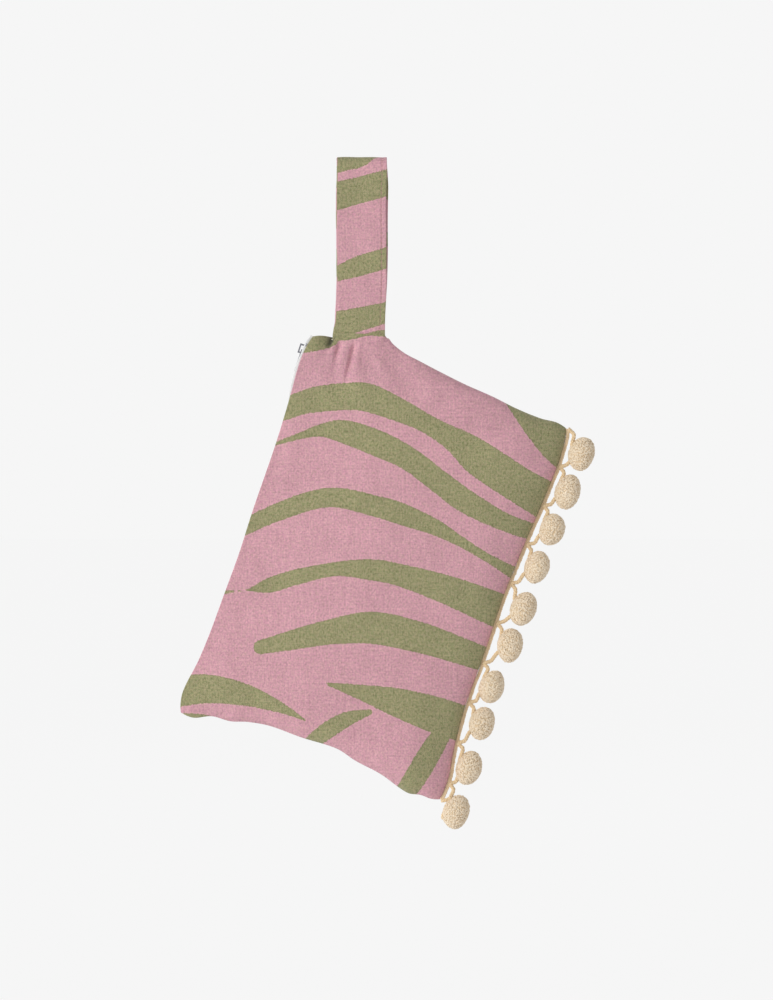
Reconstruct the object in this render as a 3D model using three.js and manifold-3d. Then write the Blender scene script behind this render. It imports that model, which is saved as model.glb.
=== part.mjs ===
// A flat zipped cloth pochette that hangs from its wrist strap.
// Two bellied cloth panels with a lining meet in a seam on three sides. The fourth side is the mouth, closed
// by a zip that faces sideways out of it. A folded strap is sewn into the seam beside the zip's closed end,
// and a braid with ten pompoms on scalloped yarn loops is sewn along the edge opposite the mouth.
// Millimetres, +Z up, the front faces -Y. The origin is where a peg or a wrist carries the strap's loop.
import * as THREE from "three";
import { mergeVertices } from "three/addons/utils/BufferGeometryUtils.js";
import Module from "manifold-3d";

const wasm = await Module();
wasm.setup();

// Pouch
const POUCH_LENGTH = 281; // along the zip
const POUCH_HEIGHT = 201; // from the mouth to the trimmed edge
const BELLY = 12.5; // half the pouch's thickness at its fullest
const MOUTH_HALF = 6.2; // half the pouch's thickness at the zip
const SIDE_ROUNDING = 30; // how far from the side seams the belly closes
const TRIM_ROUNDING = 42; // the same at the trimmed edge
const MOUTH_RISE = 0.5; // share of the height over which the mouth's width grows into the belly
const CORNER_CUT = 2.6; // how far each corner is drawn in, both ways
const CORNER_REACH = 9;
const CLOTH = 0.9;
const LINING = 0.5;
const PLY_GAP = 0.3; // between pieces that lie on each other
const SEAM_GAP = 0.3; // between the two halves along the seam
const HANG_ANGLE = THREE.MathUtils.degToRad(18.4); // how far the zip leans when the pouch hangs

// How far each edge is drawn in, as [share along the edge, millimetres]
const ZIP_EDGE_IN = [
  [0, 2.2], [0.06, 1.5], [0.1, 1.8], [0.15, 2.8], [0.2, 3.4], [0.29, 4], [0.46, 3.4], [0.57, 3.8],
  [0.68, 2.9], [0.78, 2], [0.85, 0.5], [0.88, -0.8], [0.92, -2.9], [0.95, -3.6], [1, -2.5],
];
const TRIM_EDGE_IN = [
  [0, 0.3], [0.1, 0.2], [0.16, 1.2], [0.25, 3.3], [0.32, 5], [0.4, 6.7], [0.47, 7.6], [0.6, 7.5],
  [0.7, 8.4], [0.76, 8.7], [0.83, 7.5], [0.88, 5.9], [0.93, 3.7], [1, 2.4],
];
const FAR_EDGE_IN = [
  [0, -2.6], [0.06, -1.2], [0.12, 4.3], [0.19, 5.3], [0.25, 8.8], [0.33, 11.1], [0.45, 10.4],
  [0.58, 10.8], [0.66, 6.7], [0.76, 3.3], [0.87, -3.4], [0.92, -2.2], [0.96, -3.1], [1, -3],
];
// How far the seam stands out past the strap, as [share of the way to the trimmed edge, share of the lift]
const SHOULDER_OUT = [
  [0, 1], [0.03, 0.86], [0.1, 0.69], [0.17, 0.61], [0.3, 0.465], [0.44, 0.33], [0.58, 0.24],
  [0.72, 0.105], [0.85, 0.06], [0.93, 0.13], [1, 0.12],
];

// Wrist strap, a band folded over the peg
const STRAP_WIDTH = 36;
const STRAP_DROP = 128; // from the peg to the seam
const STRAP_PLY = 1.6;
const PEG_DIAMETER = 10; // the strap's loop stands this far open at its top
const STRAP_PLY_GAP = 0.4; // between the plies where they are sewn together
const STRAP_JOINED = 14; // how far up from the seam the plies lie together
const STRAP_SEAT = 38; // from the mouth to the middle of the strap, along the seam
const STRAP_LIFT = 15.3; // how far the strap draws the seam out
const MOUTH_LIFT = 6.5; // how far the seam stands out at the mouth's end
const SEAT_MARGIN = 0.3; // the seam lies level this far past the strap
const STRAP_CHAMFER = 2; // the strap's end tapers, so that it folds at the seam
const STRAP_TOE = 0.3; // thickness of each ply at that end
const FOLD_GAP = 0.3; // from the fold line to the strap and to the seam
const SEAT_FLATNESS = 0.9; // how much of the belly the strap's pull takes away beside it
const SEAT_REACH = 28;
const SEAT_BULGE = 0.8; // how far the seam swells out between the strap and the mouth

// Zip
const ZIP_PLANE = 5.4; // the tapes' middle, from the mouth's nominal edge
const TAPE = 0.5;
const TAPE_HIDDEN = 6; // how far a tape runs in between cloth and lining
const TAPE_BEND = 0.6; // over which it turns in
const TAPE_END = 4.6; // from the side seam by the strap to the tapes' ends
const TAPE_FAR_END = 12; // from the far side seam
const CHAIN_START = 7.4; // from the side seam by the strap to the chain
const CHAIN_END_MARGIN = 25; // from the far side seam to the chain's end
const CHAIN_THICKNESS = 1.4;
const CHAIN_SPLIT = 0.5; // from the zip's middle to each row of teeth
const CHAIN_WIDTH = 2; // of one row
const STOP_LENGTH = 2;
const STOP_WIDTH = 1.4; // of each top stop, across its tape
const LINING_EDGE = 0.05; // where the lining starts, as a share of the height
const TAPE_COVERED = 0.08; // up to where it gives way to the tape
const LINING_SETTLE = 0.16; // where it has closed on the cloth again

const SLIDER_LENGTH = 9;
const SLIDER_HALF_WIDTH = 3.3;
const SLIDER_INNER_HALF_WIDTH = 2; // the plate inside the pouch stays between the folds of the tapes
const SLIDER_PLATE = 1.2;
const SLIDER_NOSE = 0.25; // half the width of the post between the rows
const POST_LENGTH = 3;
const BRIDGE_LENGTH = 7;
const BRIDGE_LEG = 1.2;
const BRIDGE_BAR = 1;
const BRIDGE_ROOM = 1.4; // beside the pull's bar, so that the pull turns freely
const BRIDGE_HALF_WIDTH = 0.8;
const PULL_SHIFT = 1; // from the slider's middle down to the pull's axis
const PULL_THICKNESS = 1.1;
const PULL_HALF_WIDTH = 3;
const PULL_ARM = 1.3; // width of each arm beside the bridge
const PULL_SLOT = 5.4; // from the pull's axis to the end of its slot
const PULL_SHOULDER = 2; // over which the arms widen into the plate
const PULL_LENGTH = 16;
const PULL_HOLE = 2.6; // diameter
const RUNNING_GAP = 0.3;

// Pompom trim
const BRAID_WIDTH = 2.4;
const BRAID_THICKNESS = 1.8;
const POM_COUNT = 10;
const POM_OVERHANG = 15; // the row of pompoms runs this far past the pouch's length
const POM_RADIUS = 9;
const POM_STRETCH = 1.32; // pompoms are longer along the edge
const POM_OUT = [13.6, 13.9, 13.9, 14.7, 16.3, 15.4, 13.3, 15.2, 13.3, 13.9]; // from the edge to each centre
const POM_ALONG = [0.8, 0.2, -0.9, -1.9, -0.5, -2.8, -0.7, -3.7, -0.3, 4.6]; // how far each has slipped
const LOOP_RADIUS = 1;
const LOOP_HALF_SPAN = 13.4; // from the middle of a scallop to its ends
const LOOP_SHOULDER = [0.8, 1.6]; // where a scallop leaves the braid, along it and out from it
const LOOP_ENTRY = [0.7, 0.45]; // where it enters the pompom, as shares of the radius, along and in

// How finely the curved pieces are cut
const ZIP_STEPS = 20;
const BRAID_STEPS = 28;
const CORD_STEPS = 16;
const CORD_SIDES = 6;
const STRAP_STEPS = 10;
const STRAP_QUARTER_STEPS = 6;

const STACK = CLOTH + PLY_GAP + LINING;
const TAPE_ROOM = TAPE + 2 * PLY_GAP;
const seatHalf = STRAP_WIDTH / 2 + SEAT_MARGIN;
const seatStart = STRAP_SEAT - seatHalf * Math.cos(HANG_ANGLE);
const seatEnd = STRAP_SEAT + seatHalf * Math.cos(HANG_ANGLE);
const seatStartLift = STRAP_LIFT - seatHalf * Math.sin(HANG_ANGLE);
const seatEndLift = STRAP_LIFT + seatHalf * Math.sin(HANG_ANGLE);
const tapeFrom = TAPE_END - MOUTH_LIFT;
const chainFrom = CHAIN_START - MOUTH_LIFT;
const chainEnd = POUCH_LENGTH - CHAIN_END_MARGIN;

// Materials
const printedCloth = new THREE.MeshStandardMaterial({ color: 0xcf9ca8, roughness: 0.9, metalness: 0 });
const liningCloth = new THREE.MeshStandardMaterial({ color: 0xe9e0cf, roughness: 0.9, metalness: 0 });
const whiteTape = new THREE.MeshStandardMaterial({ color: 0xf0f0ee, roughness: 0.75, metalness: 0 });
const coil = new THREE.MeshStandardMaterial({ color: 0xf4f4f2, roughness: 0.45, metalness: 0 });
const nickel = new THREE.MeshStandardMaterial({ color: 0xc9cacc, roughness: 0.25, metalness: 1 });
const yarn = new THREE.MeshStandardMaterial({ color: 0xe2cfac, roughness: 0.95, metalness: 0 });

// A smooth curve of y over x through the given points.
function smoothThrough(points) {
  const slope = (i) => {
    const before = points[Math.max(i - 1, 0)];
    const after = points[Math.min(i + 1, points.length - 1)];
    return (after[1] - before[1]) / (after[0] - before[0]);
  };
  return (x) => {
    const found = points.findIndex((p) => p[0] > x);
    const i = found < 0 ? points.length - 2 : Math.max(found - 1, 0);
    const [x0, y0] = points[i];
    const [x1, y1] = points[i + 1];
    const span = x1 - x0;
    const t = (x - x0) / span;
    const rest = 1 - t;
    return (
      y0 * (1 + 2 * t) * rest * rest +
      y1 * t * t * (3 - 2 * t) +
      slope(i) * span * t * rest * rest -
      slope(i + 1) * span * t * t * rest
    );
  };
}

const zipEdgeIn = smoothThrough(ZIP_EDGE_IN);
const trimEdgeIn = smoothThrough(TRIM_EDGE_IN);
const farEdgeIn = smoothThrough(FAR_EDGE_IN);
const shoulderOut = smoothThrough(SHOULDER_OUT);

// How far the seam by the strap stands out, at a distance from the mouth. It is level under the strap.
function strapEdgeOut(v) {
  if (v < seatStart) {
    const x = v / seatStart;
    return THREE.MathUtils.lerp(MOUTH_LIFT, seatStartLift, x) + SEAT_BULGE * Math.sin(Math.PI * x);
  }
  if (v < seatEnd) {
    return THREE.MathUtils.mapLinear(v, seatStart, seatEnd, seatStartLift, seatEndLift);
  }
  return seatEndLift * shoulderOut(Math.min((v - seatEnd) / (POUCH_HEIGHT - seatEnd), 1));
}

// From 0 at a seam to 1 at the given distance from it, as a quarter ellipse.
function closing(distance, reach) {
  const x = 1 - THREE.MathUtils.clamp(distance / reach, 0, 1);
  return Math.sqrt(1 - x * x);
}

// Where the pouch's surface is at shares a along the zip and b from the mouth to the trim, for a skin that
// lies inset under the outer face and gives way by a room for the tape. Returns u down the zip, v from the
// mouth, and y, half the thickness there.
function pouchAt(a, b, inset, room = 0) {
  const nominalV = b * POUCH_HEIGHT;
  const low = -strapEdgeOut(nominalV) + inset;
  const high = POUCH_LENGTH - farEdgeIn(b) - inset;
  const top = zipEdgeIn(a);
  const bottom = POUCH_HEIGHT - trimEdgeIn(a) - inset;
  let u = THREE.MathUtils.lerp(low, high, a);
  let v = THREE.MathUtils.lerp(top, bottom, b);
  const fade = (share, length) => Math.exp((-share * length) / CORNER_REACH);
  for (const [sideU, alongU] of [[1, a], [-1, 1 - a]]) {
    for (const [sideV, alongV] of [[1, b], [-1, 1 - b]]) {
      const cut = CORNER_CUT * fade(alongU, POUCH_LENGTH) * fade(alongV, POUCH_HEIGHT);
      u += sideU * cut;
      v += sideV * cut;
    }
  }
  const atSides = closing(Math.min(a, 1 - a) * POUCH_LENGTH, SIDE_ROUNDING);
  const closed = atSides * closing((1 - b) * POUCH_HEIGHT, TRIM_ROUNDING);
  const seat = Math.hypot(Math.max(Math.abs(nominalV - STRAP_SEAT) - seatHalf, 0), a * POUCH_LENGTH);
  const pulledFlat = 1 - SEAT_FLATNESS * Math.exp(-((seat / SEAT_REACH) ** 2));
  const swell = THREE.MathUtils.smoothstep(b, 0, MOUTH_RISE);
  const belly = THREE.MathUtils.lerp(MOUTH_HALF - STACK, (BELLY - STACK) * pulledFlat, swell);
  const roomHere = room * closing(Math.min(a, 1 - a) * POUCH_LENGTH, TAPE_END);
  return { u, v, y: SEAM_GAP / 2 + closed * (STACK - inset + belly) - roomHere };
}

// The pouch's own axes: x from the mouth to the trim, z up the zip, from the middle of the strap's seat.
function pouchPoint(u, v, y) {
  return new THREE.Vector3(v - STRAP_SEAT, y, -(u + STRAP_LIFT + FOLD_GAP));
}

// Turns the faces of a closed geometry to point out.
function facingOut(geometry) {
  const p = geometry.getAttribute("position");
  const index = geometry.index.array;
  const [a, b, c] = [new THREE.Vector3(), new THREE.Vector3(), new THREE.Vector3()];
  let volume = 0;
  for (let i = 0; i < index.length; i += 3) {
    a.fromBufferAttribute(p, index[i]);
    b.fromBufferAttribute(p, index[i + 1]);
    c.fromBufferAttribute(p, index[i + 2]);
    volume += a.dot(b.cross(c));
  }
  if (volume < 0) {
    for (let i = 0; i < index.length; i += 3) {
      [index[i + 1], index[i + 2]] = [index[i + 2], index[i + 1]];
    }
  }
  geometry.computeVertexNormals();
  return geometry;
}

// A closed body between two grids of points of the same size.
function slab(outer, inner) {
  const rows = outer.length;
  const columns = outer[0].length;
  const index = [];
  const at = (side, i, j) => (side * rows + i) * columns + j;
  const quad = (a, b, c, d) => index.push(a, b, c, a, c, d);
  for (let i = 0; i < rows - 1; i++) {
    for (let j = 0; j < columns - 1; j++) {
      quad(at(0, i, j), at(0, i + 1, j), at(0, i + 1, j + 1), at(0, i, j + 1));
      quad(at(1, i, j), at(1, i, j + 1), at(1, i + 1, j + 1), at(1, i + 1, j));
    }
  }
  for (let i = 0; i < rows - 1; i++) {
    quad(at(0, i, 0), at(1, i, 0), at(1, i + 1, 0), at(0, i + 1, 0));
    quad(at(0, i + 1, columns - 1), at(1, i + 1, columns - 1), at(1, i, columns - 1), at(0, i, columns - 1));
  }
  for (let j = 0; j < columns - 1; j++) {
    quad(at(0, 0, j + 1), at(1, 0, j + 1), at(1, 0, j), at(0, 0, j));
    quad(at(0, rows - 1, j), at(1, rows - 1, j), at(1, rows - 1, j + 1), at(0, rows - 1, j + 1));
  }
  const geometry = new THREE.BufferGeometry().setFromPoints([...outer.flat(), ...inner.flat()]);
  geometry.setIndex(index);
  return facingOut(geometry);
}

// A body of the given thickness on both sides of a grid of points.
function thickened(grid, thickness) {
  const last = (list) => list.length - 1;
  const normalAt = (i, j) => {
    const along = grid[Math.min(i + 1, last(grid))][j].clone().sub(grid[Math.max(i - 1, 0)][j]);
    const across = grid[i][Math.min(j + 1, last(grid[0]))].clone().sub(grid[i][Math.max(j - 1, 0)]);
    return along.cross(across).normalize();
  };
  const moved = (share) =>
    grid.map((row, i) => row.map((p, j) => p.clone().addScaledVector(normalAt(i, j), share * thickness)));
  return slab(moved(0.5), moved(-0.5));
}

function toSolid(geometry) {
  const bare = geometry.clone();
  bare.deleteAttribute("normal");
  bare.deleteAttribute("uv");
  const merged = mergeVertices(bare, 1e-4);
  return new wasm.Manifold(
    new wasm.Mesh({
      numProp: 3,
      vertProperties: new Float32Array(merged.getAttribute("position").array),
      triVerts: new Uint32Array(merged.index.array),
    }),
  );
}

function toGeometry(solid) {
  const { vertProperties, triVerts } = solid.getMesh();
  const geometry = new THREE.BufferGeometry();
  geometry.setAttribute("position", new THREE.BufferAttribute(new Float32Array(vertProperties), 3));
  geometry.setIndex(new THREE.BufferAttribute(new Uint32Array(triVerts), 1));
  geometry.computeVertexNormals();
  return geometry;
}

function joined(...geometries) {
  return toGeometry(geometries.map(toSolid).reduce((sum, next) => sum.add(next)));
}

// A box between two corners in the pouch's own terms: u down the zip, v from the mouth, y across.
function pouchBox([u0, u1], [v0, v1], [y0, y1]) {
  const middle = pouchPoint((u0 + u1) / 2, (v0 + v1) / 2, (y0 + y1) / 2);
  return new THREE.BoxGeometry(v1 - v0, y1 - y0, u1 - u0).translate(middle.x, middle.y, middle.z);
}

function named(name, geometry, material) {
  const mesh = new THREE.Mesh(geometry, material);
  mesh.name = name;
  return mesh;
}

// Shares along an edge, closer together towards both ends.
function stations(count) {
  return Array.from({ length: count + 1 }, (_, i) => (1 - Math.cos((Math.PI * i) / count)) / 2);
}

const alongZip = stations(ZIP_STEPS);
const acrossPouch = [
  ...[0, 0.02, LINING_EDGE, TAPE_COVERED, 0.12, STRAP_SEAT / POUCH_HEIGHT, seatEnd / POUCH_HEIGHT],
  ...[0.38, 0.48, 0.59, 0.7, 0.8, 0.88, 0.94, 0.98, 1],
];

// One layer of the pouch between two insets. side is -1 for the front and 1 for the back.
function layer(side, outerInset, innerInset, shares, roomAt = () => 0) {
  const skin = (inset) =>
    alongZip.map((a) =>
      shares.map((b) => {
        const { u, v, y } = pouchAt(a, b, inset, roomAt(b));
        return pouchPoint(u, v, side * y);
      }),
    );
  return slab(skin(outerInset), skin(innerInset));
}

function outerPanel(side) {
  return layer(side, 0, CLOTH, acrossPouch);
}

function liningPanel(side) {
  const roomForTape = (b) => TAPE_ROOM * (1 - THREE.MathUtils.smoothstep(b, TAPE_COVERED, LINING_SETTLE));
  const shares = acrossPouch.filter((b) => b >= LINING_EDGE);
  return layer(side, CLOTH + PLY_GAP, STACK, shares, roomForTape);
}

// Half the room between the cloth's inner faces near the mouth, along the panels' own facets.
const nearMouth = acrossPouch.filter((b) => b <= LINING_SETTLE);
const mouthRims = nearMouth.map((b) => alongZip.map((a) => pouchAt(a, b, CLOTH)));
function channelHalf(u, v) {
  const crossing = mouthRims.map((rim) => {
    const next = rim.findIndex((point) => point.u > u);
    const [before, after] = [rim[next - 1], rim[next]];
    const share = (u - before.u) / (after.u - before.u);
    return [THREE.MathUtils.lerp(before.v, after.v, share), THREE.MathUtils.lerp(before.y, after.y, share)];
  });
  const next = Math.max(crossing.findIndex((point) => point[0] > v), 1);
  const [before, after] = [crossing[next - 1], crossing[next]];
  return THREE.MathUtils.mapLinear(v, before[0], after[0], before[1], after[1]);
}

// A tape runs level from the chain to the cloth, and then turns in between cloth and lining.
function zipTape(side) {
  const facets = mouthRims[1].map((point) => point.u);
  const tapeTo = POUCH_LENGTH - TAPE_FAR_END;
  const between = facets.filter((u) => u > tapeFrom + TAPE_BEND && u < tapeTo - TAPE_BEND);
  const rows = [tapeFrom, ...between, tapeTo].map((u) => {
    const outermost = (v) => channelHalf(u, v) - PLY_GAP - TAPE / 2;
    const section = [
      [CHAIN_SPLIT, ZIP_PLANE],
      [outermost(ZIP_PLANE) - TAPE_BEND, ZIP_PLANE],
      [outermost(ZIP_PLANE + TAPE_BEND), ZIP_PLANE + TAPE_BEND],
      [outermost(ZIP_PLANE + TAPE_HIDDEN), ZIP_PLANE + TAPE_HIDDEN],
    ];
    return section.map(([y, v]) => pouchPoint(u, v, side * y));
  });
  return thickened(rows, TAPE);
}

const chainOuter = ZIP_PLANE - TAPE / 2 - PLY_GAP - CHAIN_THICKNESS; // the chain's face away from the pouch
const tapeRow = (side, width) => [side * CHAIN_SPLIT, side * (CHAIN_SPLIT + width)].sort((p, q) => p - q);

function zipTeeth(side) {
  const across = tapeRow(side, CHAIN_WIDTH);
  return pouchBox([chainFrom, chainEnd], [chainOuter, chainOuter + CHAIN_THICKNESS], across);
}

function topStop(side) {
  const end = chainFrom - RUNNING_GAP;
  const across = tapeRow(side, STOP_WIDTH);
  return pouchBox([end - STOP_LENGTH, end], [chainOuter, chainOuter + CHAIN_THICKNESS], across);
}

function bottomStop() {
  const start = chainEnd + RUNNING_GAP;
  const half = CHAIN_SPLIT + CHAIN_WIDTH;
  return pouchBox([start, start + STOP_LENGTH], [chainOuter, chainOuter + CHAIN_THICKNESS], [-half, half]);
}

// The slider's two plates, the post between the rows and the bridge that carries the pull.
const sliderStart = chainFrom + RUNNING_GAP;
const sliderMiddle = sliderStart + SLIDER_LENGTH / 2;
const plateFace = chainOuter - RUNNING_GAP - SLIDER_PLATE;
const bridgeHole = PULL_THICKNESS + 2 * RUNNING_GAP + BRIDGE_ROOM;
const pullAxis = { u: sliderMiddle + PULL_SHIFT, v: plateFace - bridgeHole / 2 };

function zipSlider() {
  const length = [sliderStart, sliderStart + SLIDER_LENGTH];
  const width = [-SLIDER_HALF_WIDTH, SLIDER_HALF_WIDTH];
  const innerWidth = [-SLIDER_INNER_HALF_WIDTH, SLIDER_INNER_HALF_WIDTH];
  const innerFace = ZIP_PLANE + TAPE / 2 + RUNNING_GAP;
  const bridgeWidth = [-BRIDGE_HALF_WIDTH, BRIDGE_HALF_WIDTH];
  const bridgeFrom = sliderMiddle - BRIDGE_LENGTH / 2;
  const bridgeTo = sliderMiddle + BRIDGE_LENGTH / 2;
  const bridgeTop = plateFace - bridgeHole - BRIDGE_BAR;
  const postLength = [sliderStart, sliderStart + POST_LENGTH];
  return joined(
    pouchBox(length, [plateFace, plateFace + SLIDER_PLATE], width),
    pouchBox(length, [innerFace, innerFace + SLIDER_PLATE], innerWidth),
    pouchBox(postLength, [plateFace, innerFace + SLIDER_PLATE], [-SLIDER_NOSE, SLIDER_NOSE]),
    pouchBox([bridgeFrom, bridgeFrom + BRIDGE_LEG], [bridgeTop, plateFace], bridgeWidth),
    pouchBox([bridgeTo - BRIDGE_LEG, bridgeTo], [bridgeTop, plateFace], bridgeWidth),
    pouchBox([bridgeFrom, bridgeTo], [bridgeTop, bridgeTop + BRIDGE_BAR], bridgeWidth),
  );
}

// The pull lies down the zip. Its end bar goes through the bridge, and its slot passes over it.
function zipPull() {
  const outline = new THREE.Shape();
  const bar = PULL_THICKNESS / 2;
  const armHalf = BRIDGE_HALF_WIDTH + RUNNING_GAP + PULL_ARM;
  const round = PULL_HALF_WIDTH;
  const plateFrom = PULL_SLOT + PULL_SHOULDER;
  outline.moveTo(-bar, -armHalf);
  outline.lineTo(PULL_SLOT, -armHalf);
  outline.lineTo(plateFrom, -PULL_HALF_WIDTH);
  outline.absarc(PULL_LENGTH - round, 0, round, -Math.PI / 2, Math.PI / 2, false);
  outline.lineTo(plateFrom, PULL_HALF_WIDTH);
  outline.lineTo(PULL_SLOT, armHalf);
  outline.lineTo(-bar, armHalf);
  outline.closePath();
  const slot = new THREE.Path();
  const slotHalf = armHalf - PULL_ARM;
  slot.moveTo(bar, -slotHalf);
  slot.lineTo(bar, slotHalf);
  slot.lineTo(PULL_SLOT, slotHalf);
  slot.lineTo(PULL_SLOT, -slotHalf);
  slot.closePath();
  const hole = new THREE.Path().absarc(PULL_LENGTH - round, 0, PULL_HOLE / 2, 0, 2 * Math.PI, true);
  outline.holes.push(slot, hole);
  const plate = new THREE.ExtrudeGeometry(outline, {
    depth: PULL_THICKNESS,
    bevelEnabled: false,
    curveSegments: 12,
  });
  const middle = pouchPoint(pullAxis.u, pullAxis.v, 0);
  const axes = new THREE.Matrix4().makeBasis(
    new THREE.Vector3(0, 0, -1),
    new THREE.Vector3(0, 1, 0),
    new THREE.Vector3(1, 0, 0),
  );
  plate.translate(0, 0, -PULL_THICKNESS / 2);
  return plate.applyMatrix4(axes).translate(middle.x, middle.y, middle.z);
}

// A point on the trimmed edge, or outside it, at a distance u down the pouch.
function trimPoint(u, out, y = 0) {
  const a = THREE.MathUtils.clamp(u / POUCH_LENGTH, 0, 1);
  const edge = pouchAt(a, 1, 0);
  const beyond = u - a * POUCH_LENGTH;
  return pouchPoint(edge.u + beyond, edge.v + out, y);
}

function trimBraid() {
  const edges = [RUNNING_GAP, RUNNING_GAP + BRAID_WIDTH];
  const across = (share, y) => edges.map((out) => trimPoint(share * POUCH_LENGTH, out, y));
  const face = (y) => stations(BRAID_STEPS).map((share) => across(share, y));
  return slab(face(-BRAID_THICKNESS / 2), face(BRAID_THICKNESS / 2));
}

const pomPitch = (POUCH_LENGTH + POM_OVERHANG) / POM_COUNT;
const loopAxisOut = RUNNING_GAP + BRAID_WIDTH + RUNNING_GAP + LOOP_RADIUS;

// One scallop of yarn and the pompom in its bend. The last one hangs round the pouch's corner.
function pompom(i) {
  const middle = pomPitch * (i + 0.5);
  const lastEnd = POUCH_LENGTH - LOOP_RADIUS;
  const from = trimPoint(middle - LOOP_HALF_SPAN, loopAxisOut);
  const to = trimPoint(Math.min(middle + LOOP_HALF_SPAN, lastEnd), loopAxisOut);
  const centre = trimPoint(middle + POM_ALONG[i], POM_OUT[i]);
  const along = to.clone().sub(from).normalize();
  const outward = new THREE.Vector3(0, 1, 0).cross(along).multiplyScalar(-1);
  const beside = (point, down, out) =>
    point.clone().addScaledVector(along, down).addScaledVector(outward, out);
  const [shoulderAlong, shoulderOut] = LOOP_SHOULDER;
  const [entryAlong, entryIn] = LOOP_ENTRY.map((share) => share * POM_RADIUS);
  const path = new THREE.CatmullRomCurve3([
    from,
    beside(from, shoulderAlong, shoulderOut),
    beside(centre, -entryAlong, -entryIn),
    centre.clone(),
    beside(centre, entryAlong, -entryIn),
    beside(to, -shoulderAlong, shoulderOut),
    to,
  ]);
  const cordOf = (radius) => {
    const corners = Array.from({ length: CORD_SIDES }, (_, k) => {
      const angle = (2 * Math.PI * k) / CORD_SIDES;
      return new THREE.Vector2(radius * Math.cos(angle), radius * Math.sin(angle));
    });
    const settings = { steps: CORD_STEPS, extrudePath: path, bevelEnabled: false };
    return new THREE.ExtrudeGeometry(new THREE.Shape(corners), settings);
  };
  const ball = new THREE.IcosahedronGeometry(POM_RADIUS, 2)
    .scale(1, 1, POM_STRETCH)
    .translate(centre.x, centre.y, centre.z);
  const bored = toGeometry(toSolid(ball).subtract(toSolid(cordOf(LOOP_RADIUS + RUNNING_GAP))));
  const number = String(i + 1).padStart(2, "0");
  return {
    from,
    to,
    loop: named(`pompom_loop_${number}`, cordOf(LOOP_RADIUS), yarn),
    ball: named(`pompom_${number}`, bored, yarn),
  };
}

// The strap's section, seen from the side: up the front ply, round the peg and down the back ply.
function wristStrap() {
  const pegHalf = PEG_DIAMETER / 2;
  const foot = -STRAP_DROP + FOLD_GAP;
  const joinedTop = -STRAP_DROP + STRAP_JOINED;
  const joinedHalf = STRAP_PLY_GAP / 2;
  const inside = [[joinedHalf, foot]];
  const outside = [[joinedHalf + STRAP_TOE, foot], [joinedHalf + STRAP_PLY, foot + STRAP_CHAMFER]];
  for (let i = 0; i <= STRAP_STEPS; i++) {
    const share = i / STRAP_STEPS;
    const z = THREE.MathUtils.lerp(joinedTop, -pegHalf, share);
    const half = THREE.MathUtils.lerp(joinedHalf, pegHalf, THREE.MathUtils.smoothstep(share, 0, 1));
    inside.push([half, z]);
    outside.push([half + STRAP_PLY, z]);
  }
  const arc = (radius, towardsBack) =>
    Array.from({ length: 2 * STRAP_QUARTER_STEPS - 1 }, (_, k) => {
      const angle = (Math.PI * (k + 1)) / (2 * STRAP_QUARTER_STEPS);
      return [towardsBack * -radius * Math.cos(angle), -pegHalf + radius * Math.sin(angle)];
    });
  const mirrored = (points) => points.map(([y, z]) => [-y, z]);
  const ring = [
    ...mirrored(outside),
    ...arc(pegHalf + STRAP_PLY, 1),
    ...outside.toReversed(),
    ...inside,
    ...arc(pegHalf, -1),
    ...mirrored(inside).toReversed(),
  ];
  const section = new THREE.Shape(ring.map(([y, z]) => new THREE.Vector2(y, z)));
  const axes = new THREE.Matrix4().makeBasis(
    new THREE.Vector3(0, 1, 0),
    new THREE.Vector3(0, 0, 1),
    new THREE.Vector3(1, 0, 0),
  );
  return new THREE.ExtrudeGeometry(section, { depth: STRAP_WIDTH, bevelEnabled: false })
    .translate(0, 0, -STRAP_WIDTH / 2)
    .applyMatrix4(axes);
}

// Assembly. Each moving group's origin lies on the line that it turns about or slides along.
const pochette = new THREE.Group();
pochette.add(named("wrist_strap", wristStrap(), printedCloth));

const pouch = new THREE.Group();
pouch.position.set(0, 0, -STRAP_DROP);
pouch.rotation.y = HANG_ANGLE;
pochette.add(pouch);
pouch.add(
  named("back_panel", outerPanel(1), printedCloth),
  named("back_lining", liningPanel(1), liningCloth),
  named("zip_tape_back", zipTape(1), whiteTape),
  named("zip_teeth_back", zipTeeth(1), coil),
  named("zip_top_stop_back", topStop(1), nickel),
  named("zip_bottom_stop", bottomStop(), nickel),
  named("trim_braid", trimBraid(), yarn),
);
pochette.updateMatrixWorld(true);

// Puts pieces that are placed in the pouch into a group of their own, with its local z along an axis.
function movingGroup(name, origin, axis, pieces) {
  const group = new THREE.Group();
  group.name = name;
  group.position.copy(origin);
  group.quaternion.setFromUnitVectors(new THREE.Vector3(0, 0, 1), axis);
  pouch.add(group);
  group.updateMatrixWorld(true);
  for (const piece of pieces) {
    pouch.add(piece);
    piece.updateMatrixWorld(true);
    group.attach(piece);
  }
  return group;
}

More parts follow.
